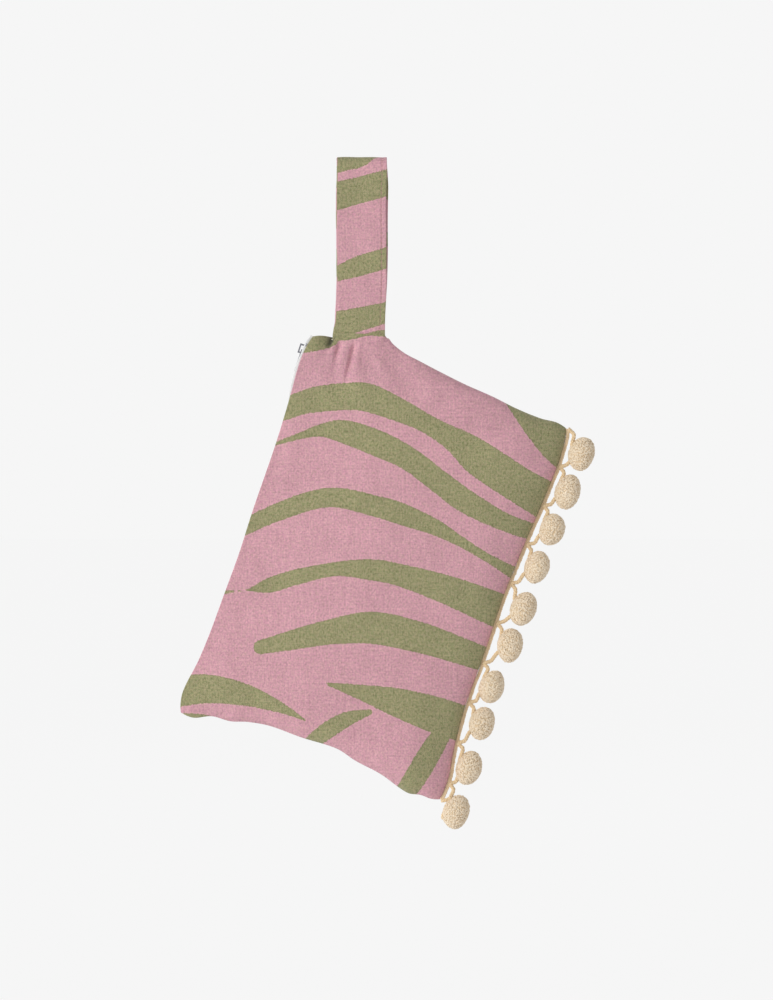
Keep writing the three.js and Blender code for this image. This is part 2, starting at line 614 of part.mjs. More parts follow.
const MOUTH_HINGE_DEPTH = 3; // in front of the seam, so that the front half only moves away from the back
const zipAxis = new THREE.Vector3(0, 0, 1);
movingGroup("front_half", pouchPoint(POUCH_LENGTH / 2, POUCH_HEIGHT, -MOUTH_HINGE_DEPTH), zipAxis, [
  named("front_panel", outerPanel(-1), printedCloth),
  named("front_lining", liningPanel(-1), liningCloth),
  named("zip_tape_front", zipTape(-1), whiteTape),
  named("zip_teeth_front", zipTeeth(-1), coil),
  named("zip_top_stop_front", topStop(-1), nickel),
]);
movingGroup("slider", pouchPoint(sliderMiddle, plateFace, 0), zipAxis, [
  named("zip_slider", zipSlider(), nickel),
]);
movingGroup("pull", pouchPoint(pullAxis.u, pullAxis.v, 0), new THREE.Vector3(0, 1, 0), [
  named("zip_pull", zipPull(), nickel),
]);
for (let i = 0; i < POM_COUNT; i++) {
  const { from, to, loop, ball } = pompom(i);
  const axis = to.clone().sub(from).normalize();
  const middle = from.clone().add(to).multiplyScalar(0.5);
  movingGroup(`pom_${String(i + 1).padStart(2, "0")}`, middle, axis, [loop, ball]);
}

export default pochette;
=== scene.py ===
# The looks of a zipped cloth pochette with a wrist strap and a pompom trim.
# Lengths are in millimetres until a mesh is made. The hanging pouch is described as u down the zip and v
# from the mouth to the trimmed edge.
import math

import bmesh
import bpy
import numpy as np
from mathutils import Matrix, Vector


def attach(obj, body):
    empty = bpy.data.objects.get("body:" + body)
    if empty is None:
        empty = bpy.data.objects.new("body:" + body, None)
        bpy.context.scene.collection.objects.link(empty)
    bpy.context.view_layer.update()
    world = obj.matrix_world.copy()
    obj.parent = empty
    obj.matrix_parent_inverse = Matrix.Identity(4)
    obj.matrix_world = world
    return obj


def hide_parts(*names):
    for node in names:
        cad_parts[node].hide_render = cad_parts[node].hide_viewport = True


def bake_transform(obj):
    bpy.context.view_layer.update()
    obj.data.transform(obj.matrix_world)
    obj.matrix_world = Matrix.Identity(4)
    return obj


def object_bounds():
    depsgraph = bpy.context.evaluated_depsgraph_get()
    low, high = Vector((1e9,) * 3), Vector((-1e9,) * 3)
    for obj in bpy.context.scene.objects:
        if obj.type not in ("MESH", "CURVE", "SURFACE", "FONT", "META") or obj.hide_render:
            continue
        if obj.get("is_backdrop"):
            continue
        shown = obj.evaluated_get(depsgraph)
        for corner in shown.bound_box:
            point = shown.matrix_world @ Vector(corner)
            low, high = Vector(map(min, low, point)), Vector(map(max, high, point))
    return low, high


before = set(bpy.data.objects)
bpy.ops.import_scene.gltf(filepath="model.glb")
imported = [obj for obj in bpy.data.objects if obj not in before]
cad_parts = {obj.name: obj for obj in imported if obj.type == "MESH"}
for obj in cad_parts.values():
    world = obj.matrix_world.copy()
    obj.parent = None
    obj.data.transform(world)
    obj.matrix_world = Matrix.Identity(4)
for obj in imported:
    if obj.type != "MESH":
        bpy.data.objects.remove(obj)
cad_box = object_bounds()

MM = 0.001

# Pouch
POUCH_LENGTH = 281
POUCH_HEIGHT = 201
BELLY = 12.5
MOUTH_HALF = 6.2
SIDE_ROUNDING = 30
TRIM_ROUNDING = 42
MOUTH_RISE = 0.5
CORNER_CUT = 2.6
CORNER_REACH = 9
CLOTH = 0.9
LINING = 0.5
PLY_GAP = 0.3
SEAM_GAP = 0.1
HANG_ANGLE = math.radians(18.4)
ZIP_EDGE_IN = [
    (0, 2.2), (0.06, 1.5), (0.1, 1.8), (0.15, 2.8), (0.2, 3.4), (0.29, 4), (0.46, 3.4), (0.57, 3.8),
    (0.68, 2.9), (0.78, 2), (0.85, 0.5), (0.88, -0.8), (0.92, -2.9), (0.95, -3.6), (1, -2.5),
]
TRIM_EDGE_IN = [
    (0, 0.3), (0.1, 0.2), (0.16, 1.2), (0.25, 3.3), (0.32, 5), (0.4, 6.7), (0.47, 7.6), (0.6, 7.5),
    (0.7, 8.4), (0.76, 8.7), (0.83, 7.5), (0.88, 5.9), (0.93, 3.7), (1, 2.4),
]
FAR_EDGE_IN = [
    (0, -2.6), (0.06, -1.2), (0.12, 4.3), (0.19, 5.3), (0.25, 8.8), (0.33, 11.1), (0.45, 10.4),
    (0.58, 10.8), (0.66, 6.7), (0.76, 3.3), (0.87, -3.4), (0.92, -2.2), (0.96, -3.1), (1, -3),
]
# How far the seam stands out past the strap: share of the way to the trimmed edge, and share of the lift
SHOULDER_OUT = [
    (0, 1), (0.03, 0.86), (0.1, 0.69), (0.17, 0.61), (0.3, 0.465), (0.44, 0.33), (0.58, 0.24),
    (0.72, 0.105), (0.85, 0.06), (0.93, 0.13), (1, 0.12),
]

# Strap
STRAP_WIDTH = 36
STRAP_DROP = 128
STRAP_PLY = 1.6
PEG_DIAMETER = 10
STRAP_PLY_GAP = 0.4
STRAP_JOINED = 14
STRAP_SEAT = 38
STRAP_LIFT = 15.3
MOUTH_LIFT = 6.5
SEAT_MARGIN = 0.3
SEAT_BULGE = 0.8
FOLD_GAP = 0.3
SEAT_FLATNESS = 0.9
SEAT_REACH = 28
STITCH_INSET = 3.5
STITCH_PITCH = 3.2
STITCH_GAP = 0.7
THREAD_RADIUS = 0.2

# Zip
ZIP_PLANE = 5.4
TAPE = 0.5
TAPE_HIDDEN = 6
TAPE_BEND = 0.6
TAPE_END = 4.6
TAPE_FAR_END = 12
LINING_EDGE = 0.05
TAPE_COVERED = 0.08
LINING_SETTLE = 0.16
CHAIN_START = 7.4
CHAIN_END_MARGIN = 25
CHAIN_THICKNESS = 1.4
CHAIN_SPLIT = 0.5
CHAIN_WIDTH = 2
COIL_PITCH = 1.3

# Trim
BRAID_WIDTH = 2.4
RUNNING_GAP = 0.3
POM_COUNT = 10
POM_OVERHANG = 15
POM_RADIUS = 9
POM_STRETCH = 1.32
POM_OUT = [13.6, 13.9, 13.9, 14.7, 16.3, 15.4, 13.3, 15.2, 13.3, 13.9]
POM_ALONG = [0.8, 0.2, -0.9, -1.9, -0.5, -2.8, -0.7, -3.7, -0.3, 4.6]
LOOP_RADIUS = 1
LOOP_HALF_SPAN = 13.4
LOOP_SHOULDER = (1.5, 2.1)
# Where a cord goes into its pompom and out again, down the edge and out from the middle, in radii
LOOP_ENTRY = [(-0.32, -0.8), (0.86, -0.74)]

STACK = CLOTH + PLY_GAP + LINING
seat_half = STRAP_WIDTH / 2 + SEAT_MARGIN
seat_start = STRAP_SEAT - seat_half * math.cos(HANG_ANGLE)
seat_end = STRAP_SEAT + seat_half * math.cos(HANG_ANGLE)
seat_start_lift = STRAP_LIFT - seat_half * math.sin(HANG_ANGLE)
seat_end_lift = STRAP_LIFT + seat_half * math.sin(HANG_ANGLE)
chain_from = CHAIN_START - MOUTH_LIFT
chain_end = POUCH_LENGTH - CHAIN_END_MARGIN
FRONT = -1
BACK = 1
SIDE_WORDS = {FRONT: "front", BACK: "back"}
ACROSS_AXIS = np.array((0.0, 1.0, 0.0))


# Shapes shared by the pieces

def smooth_through(points, x):
    """A smooth curve of y over x through the given points."""
    xs, ys = (np.array(column, float) for column in zip(*points))
    low = np.maximum(np.arange(len(xs)) - 1, 0)
    high = np.minimum(np.arange(len(xs)) + 1, len(xs) - 1)
    slopes = (ys[high] - ys[low]) / (xs[high] - xs[low])
    i = np.clip(np.searchsorted(xs, x, side="right") - 1, 0, len(xs) - 2)
    span = xs[i + 1] - xs[i]
    t = (x - xs[i]) / span
    rest = 1 - t
    return (
        ys[i] * (1 + 2 * t) * rest**2
        + ys[i + 1] * t**2 * (3 - 2 * t)
        + slopes[i] * span * t * rest**2
        - slopes[i + 1] * span * t**2 * rest
    )


def smoothstep(x, low=0.0, high=1.0):
    t = np.clip((x - low) / (high - low), 0, 1)
    return t * t * (3 - 2 * t)


def lerp(a, b, share):
    return a + (b - a) * share


def closing(distance, reach):
    """From 0 at a seam to 1 at the given distance from it, as a quarter ellipse."""
    x = 1 - np.clip(distance / reach, 0, 1)
    return np.sqrt(1 - x * x)


def bell(distance, width):
    """1 at no distance, falling off smoothly on both sides."""
    return np.exp(-((distance / width) ** 2))


def plateau(x, rise_from, rise_to, fall_from, fall_to):
    """0 at both ends, and 1 between the end of the rise and the start of the fall."""
    return smoothstep(x, rise_from, rise_to) * (1 - smoothstep(x, fall_from, fall_to))


def strap_edge_out(v):
    """How far the seam beside the strap stands out, at a distance from the mouth."""
    x = np.clip(v / seat_start, 0, 1)
    before = lerp(MOUTH_LIFT, seat_start_lift, x) + SEAT_BULGE * np.sin(np.pi * x)
    under = lerp(seat_start_lift, seat_end_lift, (v - seat_start) / (seat_end - seat_start))
    share = np.clip((v - seat_end) / (POUCH_HEIGHT - seat_end), 0, 1)
    after = seat_end_lift * smooth_through(SHOULDER_OUT, share)
    return np.where(v < seat_start, before, np.where(v < seat_end, under, after))


def seam_ends(b, inset):
    """u of the pouch's two short edges, at shares b of the way from the mouth to the trim."""
    near = -strap_edge_out(b * POUCH_HEIGHT) + inset
    return near, POUCH_LENGTH - smooth_through(FAR_EDGE_IN, b) - inset


def pouch_at(a, b, inset=0.0):
    """(u, v, y) of the pouch's surface at shares a down the zip and b from the mouth to the trim."""
    top = smooth_through(ZIP_EDGE_IN, a)
    bottom = POUCH_HEIGHT - smooth_through(TRIM_EDGE_IN, a) - inset
    u = lerp(*seam_ends(b, inset), a)
    v = lerp(top, bottom, b)
    for side_u, along_u in ((1, a), (-1, 1 - a)):
        for side_v, along_v in ((1, b), (-1, 1 - b)):
            fade = np.exp(-(along_u * POUCH_LENGTH + along_v * POUCH_HEIGHT) / CORNER_REACH)
            u = u + side_u * CORNER_CUT * fade
            v = v + side_v * CORNER_CUT * fade
    closed = closing(np.minimum(a, 1 - a) * POUCH_LENGTH, SIDE_ROUNDING)
    closed = closed * closing((1 - b) * POUCH_HEIGHT, TRIM_ROUNDING)
    beside = np.maximum(np.abs(b * POUCH_HEIGHT - STRAP_SEAT) - seat_half, 0)
    seat = np.hypot(beside, a * POUCH_LENGTH)
    pulled_flat = 1 - SEAT_FLATNESS * bell(seat, SEAT_REACH)
    belly = lerp(MOUTH_HALF - STACK, (BELLY - STACK) * pulled_flat, smoothstep(b, 0, MOUTH_RISE))
    return u, v, SEAM_GAP / 2 + closed * (STACK - inset + belly)


def hanging(u, v, y):
    """Points of the pouch in the hanging frame, in metres."""
    across = np.asarray(v, float) - STRAP_SEAT
    down = -(np.asarray(u, float) + STRAP_LIFT + FOLD_GAP)
    x = across * math.cos(HANG_ANGLE) + down * math.sin(HANG_ANGLE)
    z = -across * math.sin(HANG_ANGLE) + down * math.cos(HANG_ANGLE) - STRAP_DROP
    return np.stack(np.broadcast_arrays(x, np.asarray(y, float), z), -1) * MM


def rumple(x, z, size, seed):
    """Smooth noise from -1 to 1 over a plane, with lumps of a size."""
    cells = 64
    table = np.random.RandomState(seed).uniform(-1, 1, (cells, cells))
    gx, gz = np.asarray(x) / size + 100.3, np.asarray(z) / size + 100.7
    ix, iz = np.floor(gx).astype(int), np.floor(gz).astype(int)
    tx, tz = smoothstep(gx - ix), smoothstep(gz - iz)
    corner = lambda dx, dz: table[(ix + dx) % cells, (iz + dz) % cells]
    near = lerp(corner(0, 0), corner(1, 0), tx)
    far = lerp(corner(0, 1), corner(1, 1), tx)
    return lerp(near, far, tz)


def waver(x, size, seed):
    """Smooth noise from -1 to 1 along a line."""
    return rumple(x, 0 * x, size, seed)


def stations(count):
    """Shares along an edge, closer together towards both ends."""
    return (1 - np.cos(np.linspace(0, math.pi, count))) / 2


# Mesh makers

def add_object(name, data):
    piece = bpy.data.objects.new(name, data)
    bpy.context.collection.objects.link(piece)
    return piece


def grid_normals(points):
    """Unit normals of a grid of points, as the cross product of its two directions."""
    return unit(np.cross(np.gradient(points, axis=0), np.gradient(points, axis=1)))


def grid_quads(rows, columns, start=0):
    at = start + np.arange(rows * columns).reshape(rows, columns)
    return np.stack([at[:-1, :-1], at[1:, :-1], at[1:, 1:], at[:-1, 1:]], -1).reshape(-1, 4)


def mesh_from(name, vertices, faces, normals=None, uv=None, **attributes):
    """An object from arrays. uv holds the cloth's own coordinates in millimetres, one pair per vertex."""
    mesh = bpy.data.meshes.new(name)
    mesh.from_pydata(np.asarray(vertices).tolist(), [], [list(map(int, face)) for face in faces])
    mesh.shade_smooth()
    if uv is not None:
        corners = np.empty(len(mesh.loops), int)
        mesh.loops.foreach_get("vertex_index", corners)
        layer = mesh.uv_layers.new(name="Cloth")
        layer.data.foreach_set("uv", np.asarray(uv, np.float32)[corners].ravel())
    for label, values in attributes.items():
        mesh.attributes.new(label, "FLOAT", "POINT").data.foreach_set("value", np.asarray(values, np.float32))
    if normals is not None:
        mesh.normals_split_custom_set_from_vertices(np.asarray(normals).tolist())
    return add_object(name, mesh)


def cloth_shell(name, outer, normals, thickness, uv, **attributes):
    """A closed sheet of cloth: a grid of outer points, and the same grid moved in by the thickness."""
    rows, columns = outer.shape[:2]
    count = rows * columns
    inner = outer - normals * thickness * MM
    out_faces = grid_quads(rows, columns)
    in_faces = grid_quads(rows, columns, count)[:, ::-1]
    at = np.arange(count).reshape(rows, columns)
    rim = np.concatenate([at[:, 0], at[-1, 1:], at[-2::-1, -1], at[0, -2:0:-1]])
    following = np.roll(rim, -1)
    rim_faces = np.stack([rim, following, following + count, rim + count], -1)
    first = out_faces[len(out_faces) // 2]
    flat = outer.reshape(-1, 3)
    facing = np.cross(flat[first[1]] - flat[first[0]], flat[first[2]] - flat[first[0]])
    if facing @ normals.reshape(-1, 3)[first[0]] < 0:
        out_faces, in_faces, rim_faces = (faces[:, ::-1] for faces in (out_faces, in_faces, rim_faces))
    return mesh_from(
        name,
        np.concatenate([flat, inner.reshape(-1, 3)]),
        np.concatenate([out_faces, in_faces, rim_faces[:, ::-1]]),
        np.concatenate([normals.reshape(-1, 3), -normals.reshape(-1, 3)]),
        np.concatenate([uv.reshape(-1, 2)] * 2),
        **{label: np.concatenate([values.ravel()] * 2) for label, values in attributes.items()},
    )


def frames_along(path):
    """Two unit vectors across a path at each point, the second one close to the pouch's thickness."""
    along = unit(np.gradient(path, axis=0))
    side = unit(np.cross(along, ACROSS_AXIS))
    return side, np.cross(side, along)


def circle(radius, corners):
    angles = np.arange(corners) * 2 * math.pi / corners
    return np.stack([np.cos(angles), np.sin(angles)], -1) * radius


def tube(path, radius, corners):
    """Vertices and faces of a tube along a path, with closed ends."""
    side, up = frames_along(path)
    section = circle(radius, corners)
    rings = path[:, None] + side[:, None] * section[None, :, :1] + up[:, None] * section[None, :, 1:]
    at = np.arange(len(path) * corners).reshape(-1, corners)
    turned = np.roll(at, -1, axis=1)
    faces = np.stack([at[:-1], turned[:-1], turned[1:], at[1:]], -1).reshape(-1, 4).tolist()
    faces += [at[0, ::-1].tolist(), at[-1].tolist()]
    return rings.reshape(-1, 3), faces


def lathe(profile, corners):
    """A body turned about its first axis. Its profile, (along, radius), starts and ends on that axis."""
    inner = profile[1:-1]
    rings = [[(along, y, z) for y, z in circle(radius, corners)] for along, radius in inner]
    vertices = [point for ring in rings for point in ring] + [(profile[0][0], 0, 0), (profile[-1][0], 0, 0)]
    first, last = len(vertices) - 2, len(vertices) - 1
    following = [(k + 1) % corners for k in range(corners)]
    faces = []
    for i in range(len(inner) - 1):
        low, high = i * corners, (i + 1) * corners
        faces += [[low + k, low + n, high + n, high + k] for k, n in enumerate(following)]
    top = (len(inner) - 1) * corners
    faces += [[first, n, k] for k, n in enumerate(following)]
    faces += [[last, top + k, top + n] for k, n in enumerate(following)]
    return np.array(vertices), [face[::-1] for face in faces]


def copies(shape, origins, axes):
    """A shape's vertices and faces at each origin, with its own three axes turned to the given ones."""
    vertices, faces = shape
    points = origins[:, None] + np.einsum("vk,nkc->nvc", vertices, axes)
    starts = np.arange(len(origins)) * len(vertices)
    return points.reshape(-1, 3), [[index + start for index in face] for start in starts for face in faces]


def merged(*parts):
    """One list of vertices and faces from several."""
    vertices, faces, start = [], [], 0
    for points, polygons in parts:
        vertices.append(points)
        faces += [[index + start for index in polygon] for polygon in polygons]
        start += len(points)
    return np.concatenate(vertices), faces


def unit(vectors):
    return vectors / np.maximum(np.linalg.norm(vectors, axis=-1, keepdims=True), 1e-12)


def spaced(path, count):
    """A path's points at even steps along its length, and the length up to each, in the path's own unit."""
    length = np.concatenate([[0], np.cumsum(np.linalg.norm(np.diff(path, axis=0), axis=1))])
    even = np.linspace(0, length[-1], count)
    return np.stack([np.interp(even, length, column) for column in path.T], -1), even


# Stripes: each is a run of (x, z, width) on the hanging cloth, and it tapers or ends round

FRONT_STRIPES = [
    [
        (-98, -198, 2), (-70, -186, 13), (-44, -175.8, 16.6), (-28, -172.3, 19), (-11, -170.8, 19.4),
        (5, -171.8, 20.3), (29, -181.5, 16.5), (44, -189, 13.7), (60, -198, 15.3), (72, -205.5, 20),
        (86, -216.5, 25.5), (116, -236, 26), (142, -250, 28), (168, -263, 20), (190, -272, 2),
    ],
    [
        (-66, -206, 2), (-44, -199, 4.8), (-28, -195, 9.4), (-11, -196.3, 17), (13, -205, 18.6),
        (34, -215.5, 16.8), (54, -230.5, 16.6), (75, -246, 16.8), (100, -259.5, 13.4),
        (119, -266.5, 12.4), (140, -272, 12), (160, -278, 8), (178, -282, 1),
    ],
    [
        (-92, -268, 11), (-56, -252, 13), (-22, -243, 14), (13, -250, 15.3), (29, -255, 15.4),
        (52, -264, 11.8), (70, -274, 7.6), (90, -286, 6.2), (109, -297, 8.8), (126, -306, 10),
        (150, -314, 8), (172, -318, 1),
    ],
    [
        (-112, -311, 3), (-98, -310.7, 2.6), (-82, -309.2, 1.4), (-66, -306, 10.5), (-48, -300.3, 11.2),
        (-19, -294.2, 10), (6, -294.5, 15), (28, -298.5, 16), (64, -310, 21), (108, -328, 25),
        (140, -341, 17), (166, -348, 2),
    ],
    [
        (-72, -350, 10), (-50, -345, 14), (-22, -339, 18), (8, -336, 23), (42, -343, 22), (72, -353, 19),
        (104, -365, 16), (130, -374, 11), (154, -380, 1),
    ],
    [(-142, -384, 22), (-112, -380, 21), (-84, -384, 16), (-58, -393, 8), (-40, -402, 1)],
    [(-150, -404, 6), (-118, -401, 6), (-84, -412, 8), (-60, -424, 9)],
    [
        (-24, -376, 2), (0, -382, 11), (28, -390, 21), (58, -400, 26), (96, -414, 24), (124, -426, 14),
        (150, -434, 2),
    ],
    [(-46, -430, 8), (-30, -414, 12), (-12, -402, 11), (6, -396, 4)],
    [(24, -466, 12), (38, -444, 16), (50, -424, 16), (60, -408, 12)],
    [(96, -160, 3), (118, -183, 17), (140, -204, 27), (160, -218, 30)],
    [
        (-62, -131, 15), (-42, -131.5, 16), (-24, -128.5, 14), (-20.5, -124.5, 13), (-12, -124.2, 12.4),
        (-4.5, -123.8, 10.6), (0, -123.4, 9), (7, -123, 8), (17, -123.6, 8.4),
    ],
]
STRAP_STRIPES = [
    [(-26, -7, 20), (-14, -3, 21), (-2, -1, 19), (12, 6, 12), (26, 14, 9)],
    [(-26, -34, 19), (-18, -31.4, 20), (-1, -27, 19), (18, -22, 19), (26, -20, 18)],
    [(-26, -90, 8), (-18, -87, 10.5), (-1, -81, 14.5), (18, -75.4, 14.6), (26, -72, 15)],
    [(-26, -126.5, 20), (-18, -124.3, 20.7), (-1, -119.6, 17.4), (18, -114.7, 15.2), (26, -112, 15)],
    [(0, -132, 1), (9, -131, 5), (17, -129.5, 5.2), (26, -129, 5)],
    [(-26, 30, 13), (0, 38, 17), (26, 40, 14)],
    [(-26, 83, 15), (2, 78, 18), (26, 66, 12)],
    [(-26, 118, 9), (26, 122, 16)],
]
STRIPE_STEPS = 10


def stripe_field(x, z, stripes):
    """How far a point lies inside the nearest stripe, in mm. It is negative between stripes."""
    shape = np.shape(x)
    point = np.stack([np.ravel(x), np.ravel(z)], -1)
    depth = np.full(len(point), -1e3)
    for run in stripes:
        knots = np.arange(len(run))
        fine = np.linspace(0, len(run) - 1, (len(run) - 1) * STRIPE_STEPS + 1)
        track = [smooth_through(list(zip(knots, column)), fine) for column in zip(*run)]
        centre, width = np.stack(track[:2], -1), track[2]
        for i in range(len(fine) - 1):
            step = centre[i + 1] - centre[i]
            share = np.clip((point - centre[i]) @ step / (step @ step), 0, 1)
            gap = np.linalg.norm(point - centre[i] - share[:, None] * step, axis=1)
            depth = np.maximum(depth, lerp(width[i], width[i + 1], share) / 2 - gap)
    return depth.reshape(shape)


# Materials

class Nodes:
    """A node tree, with short calls for the nodes that these looks share."""

    def __init__(self, tree):
        self.tree = tree

    def put(self, socket, value):
        if isinstance(value, bpy.types.NodeSocket):
            self.tree.links.new(value, socket)
        else:
            socket.default_value = value

    def node(self, kind, inputs=(), **settings):
        made = self.tree.nodes.new(kind)
        for key, value in settings.items():
            setattr(made, key, value)
        for key, value in dict(inputs).items():
            self.put(made.inputs[key], value)
        return made

    def math(self, operation, *values):
        return self.node("ShaderNodeMath", enumerate(values), operation=operation).outputs[0]

    def times(self, first, second):
        return self.math("MULTIPLY", first, second)

    def plus(self, total, *others):
        for other in others:
            total = self.math("ADD", total, other)
        return total

    def shown(self):
        """1 for a ray that shows the background, straight on, in gloss or through glass, and 0 for others."""
        path = self.node("ShaderNodeLightPath").outputs
        in_gloss = self.math("MAXIMUM", path["Is Glossy Ray"], path["Is Transmission Ray"])
        return self.math("MAXIMUM", path["Is Camera Ray"], in_gloss)


class Graph(Nodes):
    """A material's nodes. The shader's plain values are given by name."""

    def __init__(self, name, **principled):
        self.material = bpy.data.materials.new(name)
        self.material.use_nodes = True
        super().__init__(self.material.node_tree)
        self.shader = self.tree.nodes["Principled BSDF"]
        for socket, value in principled.items():
            self.shader.inputs[socket.replace("_", " ")].default_value = value

    def cloth(self):
        return self.node("ShaderNodeUVMap", uv_map="Cloth").outputs[0]

    def place(self):
        return self.node("ShaderNodeTexCoord").outputs["Object"]

    def attribute(self, name):
        return self.node("ShaderNodeAttribute", attribute_name=name).outputs["Fac"]

    def blend(self, share, first, second, mode="MIX"):
        inputs = {"Factor": share, "A": first, "B": second}
        return self.node("ShaderNodeMix", inputs, data_type="RGBA", blend_type=mode).outputs["Result"]

    def noise(self, vector, scale, detail=2.0, roughness=0.5):
        inputs = {"Vector": vector, "Scale": scale, "Detail": detail, "Roughness": roughness}
        return self.node("ShaderNodeTexNoise", inputs).outputs["Fac"]

    def streaks(self, vector, x, y, detail, z=1.0):
        """Noise with a scale of its own along each axis."""
        scaled = self.node("ShaderNodeVectorMath", {0: vector, 1: (x, y, z)}, operation="MULTIPLY")
        return self.noise(scaled.outputs[0], 1.0, detail)

    def range(self, value, low, high, to_low=0.0, to_high=1.0):
        inputs = {"Value": value, "From Min": low, "From Max": high, "To Min": to_low, "To Max": to_high}
        return self.node("ShaderNodeMapRange", inputs).outputs[0]

    def brightness(self, color, factor):
        grey = self.node("ShaderNodeCombineColor", {0: factor, 1: factor, 2: factor}).outputs[0]
        return self.blend(1.0, color, grey, "MULTIPLY")

    def shade(self, color, value, low, high, at_low, at_high):
        """A colour made darker or brighter by a value that runs from low to high."""
        return self.brightness(color, self.range(value, low, high, at_low, at_high))

    def bump(self, height, distance, strength):
        inputs = {"Height": height, "Distance": distance, "Strength": strength}
        self.put(self.shader.inputs["Normal"], self.node("ShaderNodeBump", inputs).outputs[0])

    def color(self, value):
        self.put(self.shader.inputs["Base Color"], value)


def srgb(*levels):
    """A colour as seen on screen, from 0 to 255, as linear light."""
    shares = [level / 255 for level in levels]
    return (*(c / 12.92 if c <= 0.04045 else ((c + 0.055) / 1.055) ** 2.4 for c in shares), 1)


def weave(graph, cloth, pitch):
    """A plain weave: its height, and where the warp and where the weft lies on top."""
    parts = graph.node("ShaderNodeSeparateXYZ", {0: cloth}).outputs
    across, down = (graph.math("SINE", graph.times(parts[k], math.pi / pitch)) for k in range(2))
    over = graph.range(graph.times(across, down), -0.15, 0.15)
    under = graph.math("SUBTRACT", 1.0, over)
    warp = graph.times(over, graph.math("ABSOLUTE", across))
    weft = graph.times(under, graph.math("ABSOLUTE", down))
    return graph.plus(warp, weft), over, under


def slubs(graph, cloth, amount):
    """Brightness of a linen's uneven yarns: streaks along both thread directions, and soft blotches."""
    upright = graph.times(graph.streaks(cloth, 0.9, 0.05, 3), 1.1)
    level = graph.streaks(cloth, 0.06, 1.1, 3)
    fine = graph.times(graph.streaks(cloth, 2.2, 1.8, 2), 0.9)
    blotch = graph.times(graph.streaks(cloth, 0.05, 0.05, 2), 0.6)
    return graph.range(graph.plus(upright, level, fine, blotch), 1.2, 2.4, 1 - amount, 1 + amount)


# The cloth's two inks: plain, in the darker slubs, on the warp's flecks, and on the weft where it is deepest
PINKS = srgb(214, 163, 173), srgb(174, 133, 142), srgb(196, 160, 154), srgb(200, 140, 162)
GREENS = srgb(154, 148, 110), srgb(110, 111, 77), srgb(168, 155, 126), srgb(121, 133, 90)
WEAVE_PITCH = 0.62
SLUB_AMOUNT = 0.2
# How much of its light the cloth keeps at the bottom of the tuck beside the strap: painted shade, multiplied
# into its colour
TUCK_SHADE = 0.2


def printed_cloth(name):
    graph = Graph(name, Roughness=0.93, Sheen_Weight=0.12, Sheen_Roughness=0.6, Specular_IOR_Level=0.15)
    cloth = graph.cloth()
    comb = graph.times(graph.math("SUBTRACT", graph.streaks(cloth, 0.9, 0.2, 1), 0.5), 1.6)
    grain = graph.times(graph.math("SUBTRACT", graph.streaks(cloth, 1.5, 1.5, 1), 0.5), 1.5)
    edge = graph.plus(graph.attribute("stripe"), graph.plus(comb, grain))
    mottle = graph.range(graph.streaks(cloth, 0.72, 0.6, 3), 0.42, 0.68)
    height, warp, weft = weave(graph, cloth, WEAVE_PITCH)
    fleck = graph.times(graph.range(graph.streaks(cloth, 1.1, 0.3, 3), 0.45, 0.62), warp)
    deep = graph.times(graph.range(graph.streaks(cloth, 0.3, 1.1, 3), 0.45, 0.62), weft)
    inks = []
    for plain, slub, light, deepest in (PINKS, GREENS):
        ink = graph.blend(fleck, graph.blend(mottle, plain, slub), light)
        inks.append(graph.blend(deep, ink, deepest))
    inside = graph.range(edge, -0.12, 0.12)
    color = graph.brightness(graph.blend(inside, *inks), slubs(graph, cloth, SLUB_AMOUNT))
    color = graph.shade(color, edge, -0.9, -0.2, 1.0, 1.06)
    rim = graph.math("ABSOLUTE", graph.math("SUBTRACT", edge, 0.35))
    color = graph.shade(color, rim, 0.0, 0.5, 0.86, 1.0)
    # Painted shade: the cloth darkened deep in the tuck beside the strap's foot, by the tuck attribute
    color = graph.shade(color, graph.attribute("tuck"), 0.0, 1.0, 1.0, TUCK_SHADE)
    # Painted shade: the weave darker down between its threads and lighter on their tops
    graph.color(graph.shade(color, height, 0.0, 1.0, 0.9, 1.04))
    lump = graph.times(graph.streaks(cloth, 0.7, 0.7, 2), 1.6)
    graph.bump(graph.plus(height, lump), 0.00012, 0.6)
    return graph.material


def plain_cloth(name, color, pitch, amount):
    graph = Graph(name, Roughness=0.92, Sheen_Weight=0.08, Specular_IOR_Level=0.2)
    cloth = graph.cloth()
    height, _, _ = weave(graph, cloth, pitch)
    color = graph.brightness(color, slubs(graph, cloth, amount))
    # Painted shade: the weave darker down between its threads and lighter on their tops
    graph.color(graph.shade(color, height, 0.0, 1.0, 0.88, 1.03))
    graph.bump(height, 0.0001, 0.6)
    return graph.material


def yarn(name, color, shadow, grain, roughness=0.95):
    """Spun yarn: fibres as fine noise, darker where the noise is low, towards a painted shadow copy of its
    colour.
    """
    graph = Graph(name, Roughness=roughness, Sheen_Weight=0.2, Sheen_Roughness=0.5, Specular_IOR_Level=0.15)
    fibre = graph.noise(graph.place(), grain, 4, 0.65)
    broad = graph.noise(graph.place(), grain / 14, 2)
    # Painted shade: fibres mixed towards the darker shadow copy of the yarn's colour where the noise is low
    mixed = graph.blend(graph.range(fibre, 0.32, 0.62), shadow, color)
    graph.color(graph.shade(mixed, broad, 0.3, 0.7, 0.93, 1.05))
    graph.bump(fibre, 0.0003, 0.7)
    return graph.material


# The pompom's cream and its lighter yarns, and POM_SHADE, the painted shade deep down between the yarns
POM_CREAM = srgb(224, 204, 175)
POM_LIGHT = srgb(236, 220, 196)
POM_SHADE = srgb(214, 191, 158)


